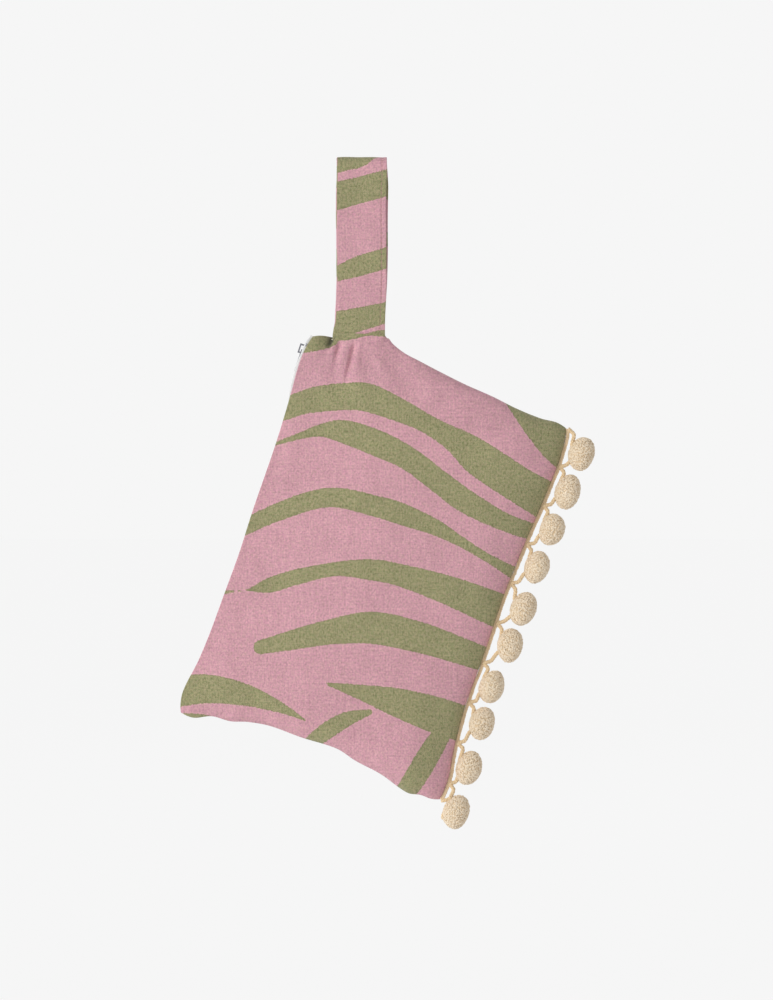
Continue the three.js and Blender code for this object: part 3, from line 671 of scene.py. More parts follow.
def pompom_yarn(name):
    """Cut yarn ends, each a little lighter or darker than the next, with shade painted in, browner, down
    between them.
    """
    graph = Graph(name, Roughness=0.95, Sheen_Weight=0.2, Sheen_Roughness=0.5, Specular_IOR_Level=0.15)
    fibre = graph.noise(graph.place(), 1500, 4, 0.65)
    cut = graph.blend(graph.attribute("tone"), POM_CREAM, POM_LIGHT)
    # Painted shade: the yarn turned towards POM_SHADE where depth is low, down between the yarn ends and on
    # the core
    color = graph.blend(graph.range(graph.attribute("depth"), 0.1, 0.9), POM_SHADE, cut)
    graph.color(graph.shade(color, fibre, 0.3, 0.7, 0.9, 1.05))
    graph.bump(fibre, 0.0003, 0.7)
    return graph.material


def nickel(name):
    graph = Graph(name, Metallic=1.0, Specular_IOR_Level=0.5)
    # The metal's grey mottled at random and kept dark overall: painted shade standing in for the dark gaps of
    # the slider
    painted_shade_mottle = graph.range(graph.noise(graph.place(), 900, 4, 0.6), 0.35, 0.7)
    streaks = graph.streaks(graph.place(), 300, 3000, 2, 300)
    graph.color(graph.blend(painted_shade_mottle, srgb(152, 152, 158), srgb(112, 112, 118)))
    graph.put(graph.shader.inputs["Roughness"], graph.range(streaks, 0.3, 0.7, 0.16, 0.34))
    graph.bump(streaks, 0.00002, 0.3)
    return graph.material


def coil_plastic(name):
    graph = Graph(name, Roughness=0.4, Specular_IOR_Level=0.5)
    haze = graph.noise(graph.place(), 600, 3)
    graph.color(graph.blend(graph.range(haze, 0.3, 0.7), srgb(246, 246, 244), srgb(228, 229, 228)))
    graph.bump(haze, 0.00003, 0.3)
    return graph.material


cloth_material = printed_cloth("PrintedCloth")
lining_material = plain_cloth("LiningCloth", srgb(232, 222, 203), 0.4, 0.05)
tape_material = plain_cloth("ZipTape", srgb(224, 224, 223), 0.5, 0.03)
pom_material = pompom_yarn("PompomYarn")
# Each yarn's lit colour, and a darker copy of it painted in as shade among its fibres
cord_material = yarn("TrimCord", srgb(238, 214, 176), srgb(212, 184, 144), 1900)
braid_material = yarn("TrimBraid", srgb(240, 216, 180), srgb(206, 178, 142), 1900)
thread_material = yarn("SewingThread", srgb(190, 150, 144), srgb(160, 118, 116), 2600, 0.7)
nickel_material = nickel("Nickel")
coil_material = coil_plastic("Coil")


def dress(piece, material, body, slot, *nodes):
    """Gives a piece its material and the body it rides on if there is one, and hides the nodes it stands in
    for. slot is not used.
    """
    piece.data.materials.clear()
    piece.data.materials.append(material)
    if body:
        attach(piece, body)
    if nodes:
        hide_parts(*nodes)


# Panels and lining

# How thick the sheets of cloth and lining are made
CLOTH_SHEET = 0.45
LINING_SHEET = 0.3
# Where along the front's cloth the back is cut from, across and down
BACK_CUT = (62, 26)
ROWS = 221
# Columns of the panel's grid: up to a share of the height, and how many
COLUMN_BANDS = [(0.05, 12), (0.32, 66), (0.94, 88), (1, 16)]
# The lining starts just above the tape's inner edge, so that it hides it
LINING_TOP = 9.2
LINING_ROWS = 161
LINING_BANDS = [(0.34, 72), (0.9, 56), (0.997, 22)]
PUCKER_HEIGHT = 0.55
HEM_RADIUS = 0.55
HEM_DEPTH = 3.4
# Folds that stand out of the belly or sink into it: from (u, v) to (u, v), width and height
FOLDS = [
    ((-19, 34), (22, 38), 1.9, -2.6),
    ((-18, 37.5), (20, 41), 2.6, 0.75),
    ((-16, 23.6), (12, 26.5), 2, -2.6),
    ((-14, 28.5), (14, 31), 2.4, 0.5),
    ((-4, 16), (34, 40), 6, -1.2),
    ((-8, 33), (46, 66), 6, 0.8),
    ((-10, 52), (52, 96), 8, 1.1),
    ((-8, 60), (26, 110), 7, -0.8),
    ((10, 12), (110, 20), 11, 0.8),
    ((190, 8), (262, 30), 13, 1.3),
    ((236, 30), (274, 66), 8, -1.0),
    ((232, 92), (272, 84), 9, 1.0),
    ((226, 130), (274, 120), 8, -0.9),
    ((222, 160), (276, 168), 9, 1.1),
    ((70, 160), (150, 188), 12, 0.8),
    ((150, 150), (230, 186), 10, -0.7),
    ((60, 84), (200, 110), 26, 0.8),
]
# How much further from the mouth the back's folds lie
BACK_FOLD_SHIFT = 23
# Puckers along the far, the trimmed and the strap's seam: height, wave, unevenness, its size and seed, reach
SEAM_PUCKERS = [(0.55, 2.6, 1.8, 30, 5, 9), (0.45, 2.3, 1.8, 27, 6, 8), (0.35, 2.9, 1.5, 24, 8, 7)]


def folds(a, b, u, v, side):
    """Height of the cloth's folds and puckers over the smooth belly, in mm."""
    height = np.zeros_like(u)
    shift = BACK_FOLD_SHIFT if side == BACK else 0
    for (u0, v0), (u1, v1), width, rise in FOLDS:
        step = np.array((u1 - u0, v1 - v0), float)
        point = np.stack([u, v], -1) - (u0, v0 + shift)
        share = np.clip(point @ step / (step @ step), 0, 1)
        gap = np.linalg.norm(point - share[..., None] * step, axis=-1)
        height += rise * bell(gap, width) * np.sin(math.pi * np.clip(share, 0.06, 0.94))
    reach = np.hypot(u + STRAP_LIFT, v - STRAP_SEAT)
    turn = np.arctan2(v - STRAP_SEAT, u + STRAP_LIFT)
    fan = np.sin(9 * turn + 0.7 * side) + 0.6 * np.sin(17 * turn + 2 * side)
    height += PUCKER_HEIGHT * fan * smoothstep(reach, 8, 26) * np.exp(-reach / 26)
    near, far, trim = a * POUCH_LENGTH, (1 - a) * POUCH_LENGTH, (1 - b) * POUCH_HEIGHT
    for puckers, along, away in zip(SEAM_PUCKERS, (v, u, v), (far, trim, near)):
        rise, wave, sway, size, seed, fade = puckers
        height += rise * np.sin(along / wave + sway * waver(along, size, seed)) * np.exp(-away / fade)
    height += 0.75 * rumple(u, v, 38, 11 + side) + 0.32 * rumple(u, v, 15, 21 + side)
    height += 0.12 * rumple(u * 0.6, v, 6, 31 + side)
    return height * np.minimum(1, np.minimum(np.minimum(near, far), trim) / 4) * smoothstep(b, -0.02, 0.06)


# The share of its smooth height that a layer keeps in its deepest fold
FOLD_FLOOR = 0.42
SEAT_LIP = STRAP_PLY_GAP / 2 + STRAP_PLY + 0.5
SEAT_LIP_REACH = 9
# Over the strap's foot, the distances from the seam at which folds set in and are whole
FOOT_DEPTH = (3, 8)
TUCK_DEPTH = 4.2
TUCK_REACH = 9
CORNER_RISE = 1.6
# Where along the seam the panels stand up over the strap's foot, and how high at its two ends
FOOT_START = 17.4
FOOT_END = 53
FOOT_RISE = (4.2, 2.8)
FOOT_RISE_REACH = 7


def over_foot(b, inset):
    """1 where the strap's foot lies between the panels and 0 beside it. A layer further in has less room."""
    v = b * POUCH_HEIGHT
    started = smoothstep(v - inset, FOOT_START - 1, FOOT_START + 1)
    return started * (1 - smoothstep(v + inset, FOOT_END - 2.2, FOOT_END + 1.8))


def corner_tuck(a, b, shift):
    """How far the corner between strap and mouth falls back behind the strap, on both panels alike."""
    v = b * POUCH_HEIGHT + shift
    hollow = plateau(v, 4, FOOT_START - 2, FOOT_START - 1.4, FOOT_START + 0.8)
    return TUCK_DEPTH * hollow * bell(a * POUCH_LENGTH, TUCK_REACH)


def seam_rise(a, b, inset):
    """How far the seam stands up at the mouth's corner and, more on its left, over the strap's foot."""
    down = a * POUCH_LENGTH
    v = b * POUCH_HEIGHT
    corner = CORNER_RISE * np.exp(-(down + v) / CORNER_REACH)
    foot = lerp(*FOOT_RISE, (v - seat_start) / (seat_end - seat_start)) * over_foot(b, inset)
    return corner + foot * bell(down, FOOT_RISE_REACH)


def tuck_shade(a, b):
    """How deep in the tuck beside the strap's foot a point is, from 0 in the open to 1: the mask of the shade
    painted there.
    """
    beside = plateau(b * POUCH_HEIGHT - FOOT_START, -6.5, -1.5, -0.2, 0.7)
    return beside * (1 - smoothstep(a * POUCH_LENGTH, 5, 11))


def panel_surface(side, a, b, inset=0.0, drop=0.0):
    """(u, v, y) of a layer, for the smooth belly with its folds. y is positive away from the middle."""
    u, v, y = pouch_at(a, b, inset)
    down = a * POUCH_LENGTH
    foot = over_foot(b, inset)
    lip = np.maximum(SEAT_LIP * np.exp(-down / SEAT_LIP_REACH) - inset, 0) * foot
    free = 1 - foot * (1 - smoothstep(down, *FOOT_DEPTH))
    smooth_y = np.hypot(y, lip)
    folded_y = smooth_y + (folds(a, b, u, v, side) - drop) * free
    y = np.maximum(folded_y, lerp(SEAM_GAP / 2, smooth_y, FOLD_FLOOR))
    return u - seam_rise(a, b, inset), v, y + side * corner_tuck(a, b, side * inset)


def outward(points, side):
    """A grid's normals, turned away from the pouch's middle plane."""
    normals = grid_normals(points)
    middle = normals[normals.shape[0] // 2, normals.shape[1] // 2]
    return normals if middle[1] * side > 0 else -normals


def centred(a, b, inset=0.0):
    """Shares down the zip, with the middle row in the middle of the zip, where the front's halves meet."""
    low, high = seam_ends(b, inset)
    middle = (POUCH_LENGTH / 2 - low) / (high - low)
    return np.where(a < 0.5, 2 * middle * a, middle + (1 - middle) * (2 * a - 1))


def columns(bands):
    """Shares of the height, with a band of even steps up to each share."""
    across, start = [], 0
    for end, count in bands:
        across.append(np.linspace(start, end, count, endpoint=end == bands[-1][0]))
        start = end
    return np.concatenate(across)


def panel_grid(side):
    """The printed cloth from inside its turned-in hem at the mouth, round the edge, and over to the trim."""
    a, b = np.meshgrid(stations(ROWS), columns(COLUMN_BANDS), indexing="ij")
    a = centred(a, b)
    u, v, y = panel_surface(side, a, b)
    edge_u, edge_v, edge_y = u[:, :1], v[:, :1], y[:, :1]
    bend = np.linspace(math.pi, 0, 9)[None, :-1]
    hem_y = np.maximum(edge_y - HEM_RADIUS + HEM_RADIUS * np.cos(bend), SEAM_GAP / 2)
    hem_v = edge_v + HEM_RADIUS * (1 - np.sin(bend))
    run = np.linspace(HEM_DEPTH, HEM_RADIUS + 0.4, 6)[None, :]
    inner_y = np.maximum(edge_y - 2 * HEM_RADIUS + 0 * run, SEAM_GAP / 2)
    layers = (
        (edge_u + 0 * run, edge_u + 0 * bend, u),
        (edge_v + run, hem_v, v + HEM_RADIUS * np.exp(-(v - edge_v) / 3)),
        (inner_y, hem_y, y),
        # The mask of the painted shade in the tuck, on the front's cloth only
        (0 * inner_y, 0 * hem_y, tuck_shade(a, b) * (side == FRONT)),
    )
    return [np.concatenate(parts, 1) for parts in layers]


def lining_grid(side):
    inset = CLOTH + PLY_GAP
    a, b = np.meshgrid(stations(LINING_ROWS), columns(LINING_BANDS), indexing="ij")
    top = smooth_through(ZIP_EDGE_IN, a)
    bottom = POUCH_HEIGHT - smooth_through(TRIM_EDGE_IN, a)
    b = lerp((LINING_TOP - top) / (bottom - top), 1, b)
    a = centred(a, b, inset)
    under_tape = 1 - smoothstep(b, TAPE_COVERED, LINING_SETTLE)
    room = (TAPE + 2 * PLY_GAP) * under_tape * closing(np.minimum(a, 1 - a) * POUCH_LENGTH, TAPE_END)
    crease = 0.5 - 0.5 * rumple(a * POUCH_LENGTH, b * POUCH_HEIGHT, 22, 41 + side)
    drop = room + crease * smoothstep(b, 0.1, 0.3)
    return *panel_surface(side, a, b, inset, drop), 0 * a


def stripes_of(side, points):
    """Cloth coordinates of a panel's points, and how far inside a stripe they lie. The back is cut from
    further along the same cloth, past the stripe at the front's corner, which is the last one of the list."""
    x, z = points[..., 0] / MM, points[..., 2] / MM
    stripes = FRONT_STRIPES
    if side == BACK:
        x, z = BACK_CUT[0] - x, z + BACK_CUT[1]
        stripes = FRONT_STRIPES[:-1]
    return np.stack([x, z], -1), stripe_field(x, z, stripes)


def pieces_of(side, rows):
    """Each of a side's pieces, as its half of the mouth, its rows and the end of its name. The back is whole.
    The front is in two halves with the middle row in both."""
    if side == BACK:
        return [(None, slice(None), "")]
    middle = rows // 2
    return [(0, slice(0, middle + 1), "_upper"), (1, slice(middle, None), "_lower")]


def carry(piece, half):
    """A back piece rides on the pouch. A front one only has its placement baked into its mesh."""
    if half is None:
        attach(piece, "pouch")
        return
    far_seam = POUCH_LENGTH - max(inward for _, inward in FAR_EDGE_IN)
    ends = hanging([0 if half == 0 else far_seam, POUCH_LENGTH / 2], [POUCH_HEIGHT / 2] * 2, [0, 0])
    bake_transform(piece)


def make_layer(side, kind, node, grid, thickness, material, slot):
    """A side's layer of cloth. kind and node name its pieces and their node, without the side's word."""
    u, v, y, tuck = grid
    points = hanging(u, v, side * y)
    normals = outward(points, side)
    uv, stripe = stripes_of(side, points)
    word = SIDE_WORDS[side]
    pieces = pieces_of(side, len(points))
    for half, rows, place in pieces:
        name = f"{word}_{kind}{place}"
        # tuck carries the mask of the shade painted beside the strap's foot
        values = {"stripe": stripe[rows], "tuck": tuck[rows]}
        piece = cloth_shell(name, points[rows], normals[rows], thickness, uv[rows], **values)
        carry(piece, half)
        dress(piece, material, None, slot, f"{word}_{node}")


for panel_side in (FRONT, BACK):
    panel, lining = panel_grid(panel_side), lining_grid(panel_side)
    make_layer(panel_side, "cloth", "panel", panel, CLOTH_SHEET, cloth_material, "printed_cloth")
    make_layer(panel_side, "lining_cloth", "lining", lining, LINING_SHEET, lining_material, "lining_cloth")


# Wrist strap

STRAP_POINTS = 221
STRAP_TUCK = 2.6
# Heights over the seam between which the band starts to sway, and loses its lean and its flare
FREE_FROM = (6, 40)
LEAN_FADE = (4, 46)
FLARE_FADE = (0, 13)
STRAP_LEAN = 1.1
STRAP_FLARE = 1.6
# The back ply lies further to the right, most so between the two middle lengths from the top
STRAP_SLIP = 1.1
SLIP_SPAN = (2, 26, 64, 112)
STITCH_PRESS = 0.3
STITCH_DENT = 0.55
# Stations at each end of the band that have no stitches
STITCH_ENDS = 4
# Points across each face of the band's section, and how much further along the cloth the inner face lies
FACE_POINTS = 42
INNER_CUT = 57


def strap_path():
    """(y, z) of the band's middle, from foot to foot over the peg, and the distance from the top along it."""
    peg_half = PEG_DIAMETER / 2
    joined_top = STRAP_JOINED - STRAP_DROP
    z = np.linspace(-STRAP_DROP - STRAP_TUCK, -peg_half, 300)
    opening = smoothstep(z, joined_top, -peg_half)
    half = lerp(STRAP_PLY_GAP / 2, peg_half, opening) + STRAP_PLY / 2
    turn = np.linspace(math.pi, 0, 61)[1:-1]
    front = np.stack([-half, z], -1)
    top = np.stack([np.cos(turn), np.sin(turn)], -1) * (peg_half + STRAP_PLY / 2) - (0, peg_half)
    path, length = spaced(np.concatenate([front, top, front[::-1] * (-1, 1)]), STRAP_POINTS)
    return path, length - length[-1] / 2


def strap_section():
    """The band's section, (across, out): two faces, a folded left edge and two turned-in right edges."""
    half, ply = STRAP_WIDTH / 2, STRAP_PLY / 2 - 0.05
    finer_from = half - 5
    wide = np.linspace(-half + ply, finer_from, 24)[:-1]
    across = np.concatenate([wide, np.linspace(finer_from, half - 0.5, 19)])
    outer = np.stack([across, np.full_like(across, ply)], -1)
    right = np.array([(-0.1, 0.85), (0, 0.5), (-0.45, 0), (0, -0.5), (-0.1, -0.85)]) * (1, ply) + (half, 0)
    turn = np.linspace(-math.pi / 2, -1.5 * math.pi, 7)[1:-1]
    left = np.stack([np.cos(turn), np.sin(turn)], -1) * ply + (ply - half, 0)
    return np.concatenate([outer, right, outer[::-1] * (1, -1), left])


def strap_shape():
    """The band's points, as stations along it by points round its section, with (across, along) of each."""
    path, along = strap_path()
    heading = unit(np.gradient(path, axis=0))
    out = np.stack([-heading[:, 1], heading[:, 0]], -1)[:, None]
    section = strap_section()
    across, height = section[None, :, 0], section[None, :, 1]
    s = along[:, None]
    above = path[:, None, 1] + STRAP_DROP
    free = smoothstep(above, *FREE_FROM)
    groove = STITCH_PRESS * bell(across - STRAP_WIDTH / 2 + STITCH_INSET, STITCH_DENT)
    pinch = 0.5 + 0.5 * np.cos(2 * math.pi * s / STITCH_PITCH)
    height = height - np.sign(height) * groove * (0.55 + 0.45 * pinch)
    sway = 0.55 * rumple(across, s, 26, 51) + 0.22 * rumple(across, s, 9, 52)
    height = height + (sway + 0.1 * rumple(across * 0.4, s, 3.4, 53)) * free
    wander = 0.35 * waver(s, 31, 54) + 0.12 * waver(s, 8, 55)
    slip = STRAP_SLIP * plateau(s, *SLIP_SPAN)
    lean = STRAP_LEAN * (1 - smoothstep(above, *LEAN_FADE))
    flare = STRAP_FLARE * (1 - smoothstep(above, *FLARE_FADE)) * (0.5 - across / STRAP_WIDTH)
    x = across + wander * free + slip - lean - flare * (s < 0)
    yz = path[:, None] + out * height[..., None]
    points = np.concatenate([x[..., None], yz], -1)
    return points, np.stack(np.broadcast_arrays(across, s + 0 * across), -1)


def stitch_line(path, out):
    """Stitches along a path that lies on the cloth, with the direction out of the cloth at each point. The
    part of each that shows is a short thread that dips into the cloth at both ends."""
    total = np.linalg.norm(np.diff(path, axis=0), axis=1).sum()
    both, _ = spaced(np.concatenate([path, out * STITCH_PITCH], 1), int(total / STITCH_PITCH) + 1)
    points, up = both[:, :3], unit(both[:, 3:])
    along = unit(np.gradient(points, axis=0))
    side = unit(np.cross(up, along))
    profile = np.array([(-1, 0), (-0.92, 0.6), (-0.5, 1), (0.5, 1), (0.92, 0.6), (1, 0)])
    bead = lathe(profile * ((STITCH_PITCH - STITCH_GAP) / 2, THREAD_RADIUS), 6)
    return copies(bead, points, np.stack([along, side, up], 1))


def make_strap():
    points, cloth = strap_shape()
    steps, corners = points.shape[:2]
    at = np.arange(steps * corners).reshape(steps, corners)
    turned = np.roll(at, -1, axis=1)
    faces = np.stack([at[:-1], at[1:], turned[1:], turned[:-1]], -1).reshape(-1, 4).tolist()
    faces += [at[0].tolist(), at[-1, ::-1].tolist()]
    inside = np.arange(corners) > FACE_POINTS + 2
    across = np.where(inside, -cloth[..., 0], cloth[..., 0])
    along = np.where(inside, cloth[..., 1] + INNER_CUT, cloth[..., 1])
    stripe = stripe_field(across, along, STRAP_STRIPES)
    uv = np.stack([across, along], -1).reshape(-1, 2)
    strap = mesh_from("wrist_strap_cloth", points.reshape(-1, 3) * MM, faces, uv=uv, stripe=stripe.ravel())
    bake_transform(strap)
    dress(strap, cloth_material, None, "strap_cloth", "wrist_strap")
    line = np.argmin(np.abs(cloth[0, :FACE_POINTS, 0] - STRAP_WIDTH / 2 + STITCH_INSET))
    stitched = points[STITCH_ENDS:-STITCH_ENDS]
    seam = stitched[:, line]
    out = unit(seam - stitched[:, inner_partner(cloth, line)])
    threads = stitch_line(seam + out * THREAD_RADIUS * 0.4, out)
    stitches = mesh_from("strap_stitches", threads[0] * MM, threads[1])
    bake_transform(stitches)
    dress(stitches, thread_material, None, "strap_cloth")


def inner_partner(cloth, line):
    """The section's point on the inner face that lies under one on the outer face."""
    same = np.isclose(cloth[0, :, 0], cloth[0, line, 0])
    return np.flatnonzero(same)[-1]


make_strap()


# Zip

TOOTH_HALF = 0.3
TOOTH_HEIGHT = 0.5
TOOTH_OVERLAP = 0.28
# Threads sewn along the coil: how far out each one runs, and their radius
COIL_THREADS = (1.15, 1.75)
COIL_THREAD_RADIUS = 0.15
METAL_ROUNDING = 0.24
# Metal edges that turn by more than this are rounded
SHARP_EDGE = math.radians(40)
TAPE_SHEET = TAPE - 0.05
# Points down each half of a tape
TAPE_ROWS = 130
CHAIN_MIDDLE = ZIP_PLANE - TAPE / 2 - PLY_GAP - CHAIN_THICKNESS / 2
# The tape is folded over at the zip's top end, and its fold stands out past the cloth: its v over u
TAPE_FOLD = [(-5.5, 3), (0, 1.2), (10, 0.4), (20, 0), (35, 1), (45, 2.6), (60, 5.4)]
TAPE_LEAST_Y = 0.3
DOWN_AXIS = (hanging(1, 0, 0) - hanging(0, 0, 0)) / MM
INTO_AXIS = (hanging(0, 1, 0) - hanging(0, 0, 0)) / MM


def channel_half(u, v):
    """Half the room between the cloths' inner faces near the mouth, for each u at each v."""
    a = np.linspace(0, 1, 401)
    rims = [pouch_at(a, np.full_like(a, b), CLOTH) for b in (0, 0.02, LINING_EDGE, TAPE_COVERED, 0.12)]
    rim_v = np.stack([np.interp(u, line_u, line_v) for line_u, line_v, _ in rims], -1)
    rim_y = np.stack([np.interp(u, line_u, line_y) for line_u, _, line_y in rims], -1)
    return np.array([np.interp(*line) for line in zip(v, rim_v, rim_y)])


def tape_sheet(side):
    """A tape's outer face from the chain out to the cloth and in behind it, with its cloth coordinates."""
    middle = POUCH_LENGTH / 2
    u = np.linspace(TAPE_FOLD[0][0], middle, TAPE_ROWS)
    u = np.concatenate([u[:-1], np.linspace(middle, POUCH_LENGTH - TAPE_FAR_END, TAPE_ROWS)])
    level = np.linspace(0, 1, 21)[:-1]
    turn = np.linspace(0, math.pi / 2, 7)
    share = np.linspace(0, 1, 11)[1:]
    deep = ZIP_PLANE + lerp(TAPE_BEND, TAPE_HIDDEN, share)
    v = np.concatenate([ZIP_PLANE + 0 * level, ZIP_PLANE + TAPE_BEND * (1 - np.cos(turn)), deep])
    raised = np.concatenate([smoothstep(level, 0.66, 1), 1 + 0 * turn, 1 - smoothstep(share)])
    fold = ZIP_PLANE - TAPE / 2 - smooth_through(TAPE_FOLD, np.minimum(u, TAPE_FOLD[-1][0]))
    v = v - np.maximum(fold, 0)[:, None] * raised
    y = channel_half(u, v) - PLY_GAP - TAPE / 2
    bending = slice(len(level), len(level) + len(turn))
    y[:, bending] -= TAPE_BEND * (1 - np.sin(turn))
    y[:, :len(level)] = lerp(CHAIN_SPLIT - 0.3, y[:, bending][:, :1], level)
    y = np.maximum(y, TAPE_LEAST_Y)
    along = u[:, None] + 0 * y
    v = v + 0.12 * rumple(along, y * 3, 5, 61 + side)
    points = hanging(along, v, side * y)
    normals = grid_normals(points)
    if normals[120, 2] @ INTO_AXIS > 0:
        normals = -normals
    steps = np.hypot(np.diff(y, axis=1), np.diff(v, axis=1))
    width = np.concatenate([np.zeros((len(u), 1)), np.cumsum(steps, 1)], 1)
    return points + normals * TAPE / 2 * MM, normals, np.stack([width, along], -1)


def teeth(side, start, end):
    """A row of coil turns over a stretch of the zip. The two sides' turns lie between each other."""
    u = np.arange(chain_from + COIL_PITCH * (0.5 if side == FRONT else 1.0), chain_end, COIL_PITCH)
    u = u[(u >= start) & (u < end)]
    reach = CHAIN_SPLIT + CHAIN_WIDTH + TOOTH_OVERLAP
    profile = [(0, 0), (0.1, 0.62), (0.34, 1.0), (0.8, 1.08), (1.15, 0.86)]
    profile += [(reach - 0.35, 0.82), (reach - 0.08, 0.5), (reach, 0)]
    axes = np.stack([side * ACROSS_AXIS, DOWN_AXIS * TOOTH_HALF, INTO_AXIS * TOOTH_HEIGHT])
    origins = hanging(u, CHAIN_MIDDLE, -side * TOOTH_OVERLAP)
    row = copies(lathe(profile, 8), origins, np.repeat(axes[None] * MM, len(u), 0))
    run = np.arange(max(start, chain_from - 1), min(end, chain_end + 1), COIL_PITCH / 6)
    height = TOOTH_HEIGHT * 0.86 + 0.07 * np.cos(2 * math.pi * (run - chain_from) / COIL_PITCH)
    paths = [hanging(run, CHAIN_MIDDLE - height, side * (offset + 0 * run)) for offset in COIL_THREADS]
    return merged(row, *(tube(path, COIL_THREAD_RADIUS * MM, 5) for path in paths))


def rounded(node):
    """Vertices and faces of a node's shape with rounded edges."""
    shape = bmesh.new()
    shape.from_mesh(bpy.data.objects[node].data)
    bmesh.ops.remove_doubles(shape, verts=shape.verts, dist=0.00001)
    sharp = [edge for edge in shape.edges if edge.calc_face_angle(0) > SHARP_EDGE]
    bmesh.ops.bevel(shape, geom=sharp, offset=METAL_ROUNDING * MM, segments=2, affect="EDGES")
    shape.verts.index_update()
    vertices = [tuple(vertex.co) for vertex in shape.verts]
    faces = [[vertex.index for vertex in face.verts] for face in shape.faces]
    shape.free()
    return vertices, faces


def make_zip():
    middle = POUCH_LENGTH / 2
    reach = {None: (0, POUCH_LENGTH), 0: (0, middle), 1: (middle, POUCH_LENGTH)}
    for side, word in SIDE_WORDS.items():
        outer, normals, cloth = tape_sheet(side)
        for half, rows, place in pieces_of(side, len(outer)):
            name = f"zip_{word}_tape{place}"
            tape = cloth_shell(name, outer[rows], normals[rows], TAPE_SHEET, cloth[rows])
            carry(tape, half)
            dress(tape, tape_material, None, "zip_tape", f"zip_tape_{word}")
            row = mesh_from(f"zip_{word}_coil{place}", *teeth(side, *reach[half]))
            carry(row, half)
            dress(row, coil_material, None, "zip_coil", f"zip_teeth_{word}")
    stop = mesh_from("zip_front_stop", *rounded("zip_top_stop_front"))
    carry(stop, 0)
    dress(stop, nickel_material, None, "zip_metal", "zip_top_stop_front")
    for node in ("zip_slider", "zip_pull", "zip_top_stop_back", "zip_bottom_stop"):
        piece = bpy.data.objects[node]
        piece.data.materials.clear()
        piece.data.materials.append(nickel_material)
        bevel = piece.modifiers.new("Edge", "BEVEL")
        bevel.width = METAL_ROUNDING * MM
        bevel.segments = 3
        bevel.limit_method = "ANGLE"
        bevel.angle_limit = SHARP_EDGE


make_zip()


# Trim

PLAIT_PITCH = 4.4
PLAIT_SWING = 0.9
PLAIT_DEPTH = 0.45
PLAIT_STRAND = 0.56
BRAID_MIDDLE_OUT = 1.2
CORD_STRAND = 0.78
CORD_TWIST = 6
CORD_YARNS = 3
# How much further turned each cord starts than the one before it
CORD_TURN = 1.7
CORD_POINTS = 150
CORD_FOOT_OUT = 1.4
CORE_INSET = 0.22
# The seed of the first pompom's random draws. Each further one has the next number.
POM_SEED = 300
POM_LUMPS = 11
POM_LUMP_RISE = 0.085
TUFTS = 820
TUFT_SIDES = 6
# How uneven the tufts are in place, reach and lean, as shares
TUFT_SPREAD = 0.045
TUFT_REACH = 0.01
TUFT_LEAN = 0.1


def trim_point(u, out, y=0.0):
    """A point of the trimmed edge, or outside it, at a distance u down the pouch, in the hanging frame."""
    u = np.asarray(u, float)
    a = np.clip(u / POUCH_LENGTH, 0, 1)
    edge_u, edge_v, _ = pouch_at(a, np.ones_like(a))
    return hanging(edge_u + u - a * POUCH_LENGTH, edge_v + out, y)


def curve_through(points, steps):
    """A smooth path through points, with its knots spaced by the roots of their distances."""
    held = np.concatenate([[2 * points[0] - points[1]], points, [2 * points[-1] - points[-2]]])
    path = []
    for i in range(len(points) - 1):
        near = held[i:i + 4]
        knots = np.concatenate([[0], np.cumsum(np.linalg.norm(np.diff(near, axis=0), axis=1) ** 0.5)])
        t = np.linspace(knots[1], knots[2], steps, endpoint=False)[:, None]
        between = lambda p, q, low, high: lerp(p, q, (t - knots[low]) / (knots[high] - knots[low]))
        first = [between(near[k], near[k + 1], k, k + 1) for k in range(3)]
        second = [between(first[k], first[k + 1], k, k + 2) for k in range(2)]
        path.append(between(second[0], second[1], 1, 2))
    return np.concatenate([*path, points[-1:]])


def make_braid():
    u = np.arange(0.5, POUCH_LENGTH - 0.5, PLAIT_PITCH / 16)
    wander = 0.3 * waver(u, 11, 76)
    strands = []
    for k in range(3):
        phase = 2 * math.pi * (u / PLAIT_PITCH + k / 3) + 0.8 * waver(u, 23, 71)
        swing = PLAIT_SWING * (1 + 0.3 * waver(u, 7, 72 + k))
        out = BRAID_MIDDLE_OUT + wander + swing * np.sin(phase)
        path = trim_point(u, out, PLAIT_DEPTH * np.sin(2 * phase))
        strands.append(tube(path, PLAIT_STRAND * MM, 8))
    braid = mesh_from("braid", *merged(*strands))
    dress(braid, braid_material, "pouch", "trim_yarn", "trim_braid")


def scallop(i):
    """The path of one scallop of cord from the braid through its pompom and back, the pompom's middle, and
    two points a loop's radius in and out from the middle between the scallop's ends."""
    middle = pom_pitch * (i + 0.5)
    start = trim_point(middle - LOOP_HALF_SPAN, loop_out)
    stop = trim_point(min(middle + LOOP_HALF_SPAN, POUCH_LENGTH - LOOP_RADIUS), loop_out)
    centre = trim_point(middle + POM_ALONG[i], POM_OUT[i])
    along = unit(stop - start)
    out = -np.cross(ACROSS_AXIS, along)
    beside = lambda point, down, away: point + (along * down + out * away) * MM
    shoulder_along, shoulder_out = LOOP_SHOULDER
    into, back = (beside(centre, down * POM_RADIUS, away * POM_RADIUS) for down, away in LOOP_ENTRY)
    foot_in = loop_out - CORD_FOOT_OUT
    knots = [
        beside(start, -shoulder_along, -foot_in), start, beside(start, shoulder_along, shoulder_out),
        into, centre, back,
        beside(stop, -shoulder_along, shoulder_out), stop, beside(stop, shoulder_along, -foot_in),
    ]
    hinge = (start + stop) / 2
    bend = [beside(hinge, 0, away) for away in (-LOOP_RADIUS, LOOP_RADIUS)]
    return curve_through(np.array(knots), 40), centre, *bend


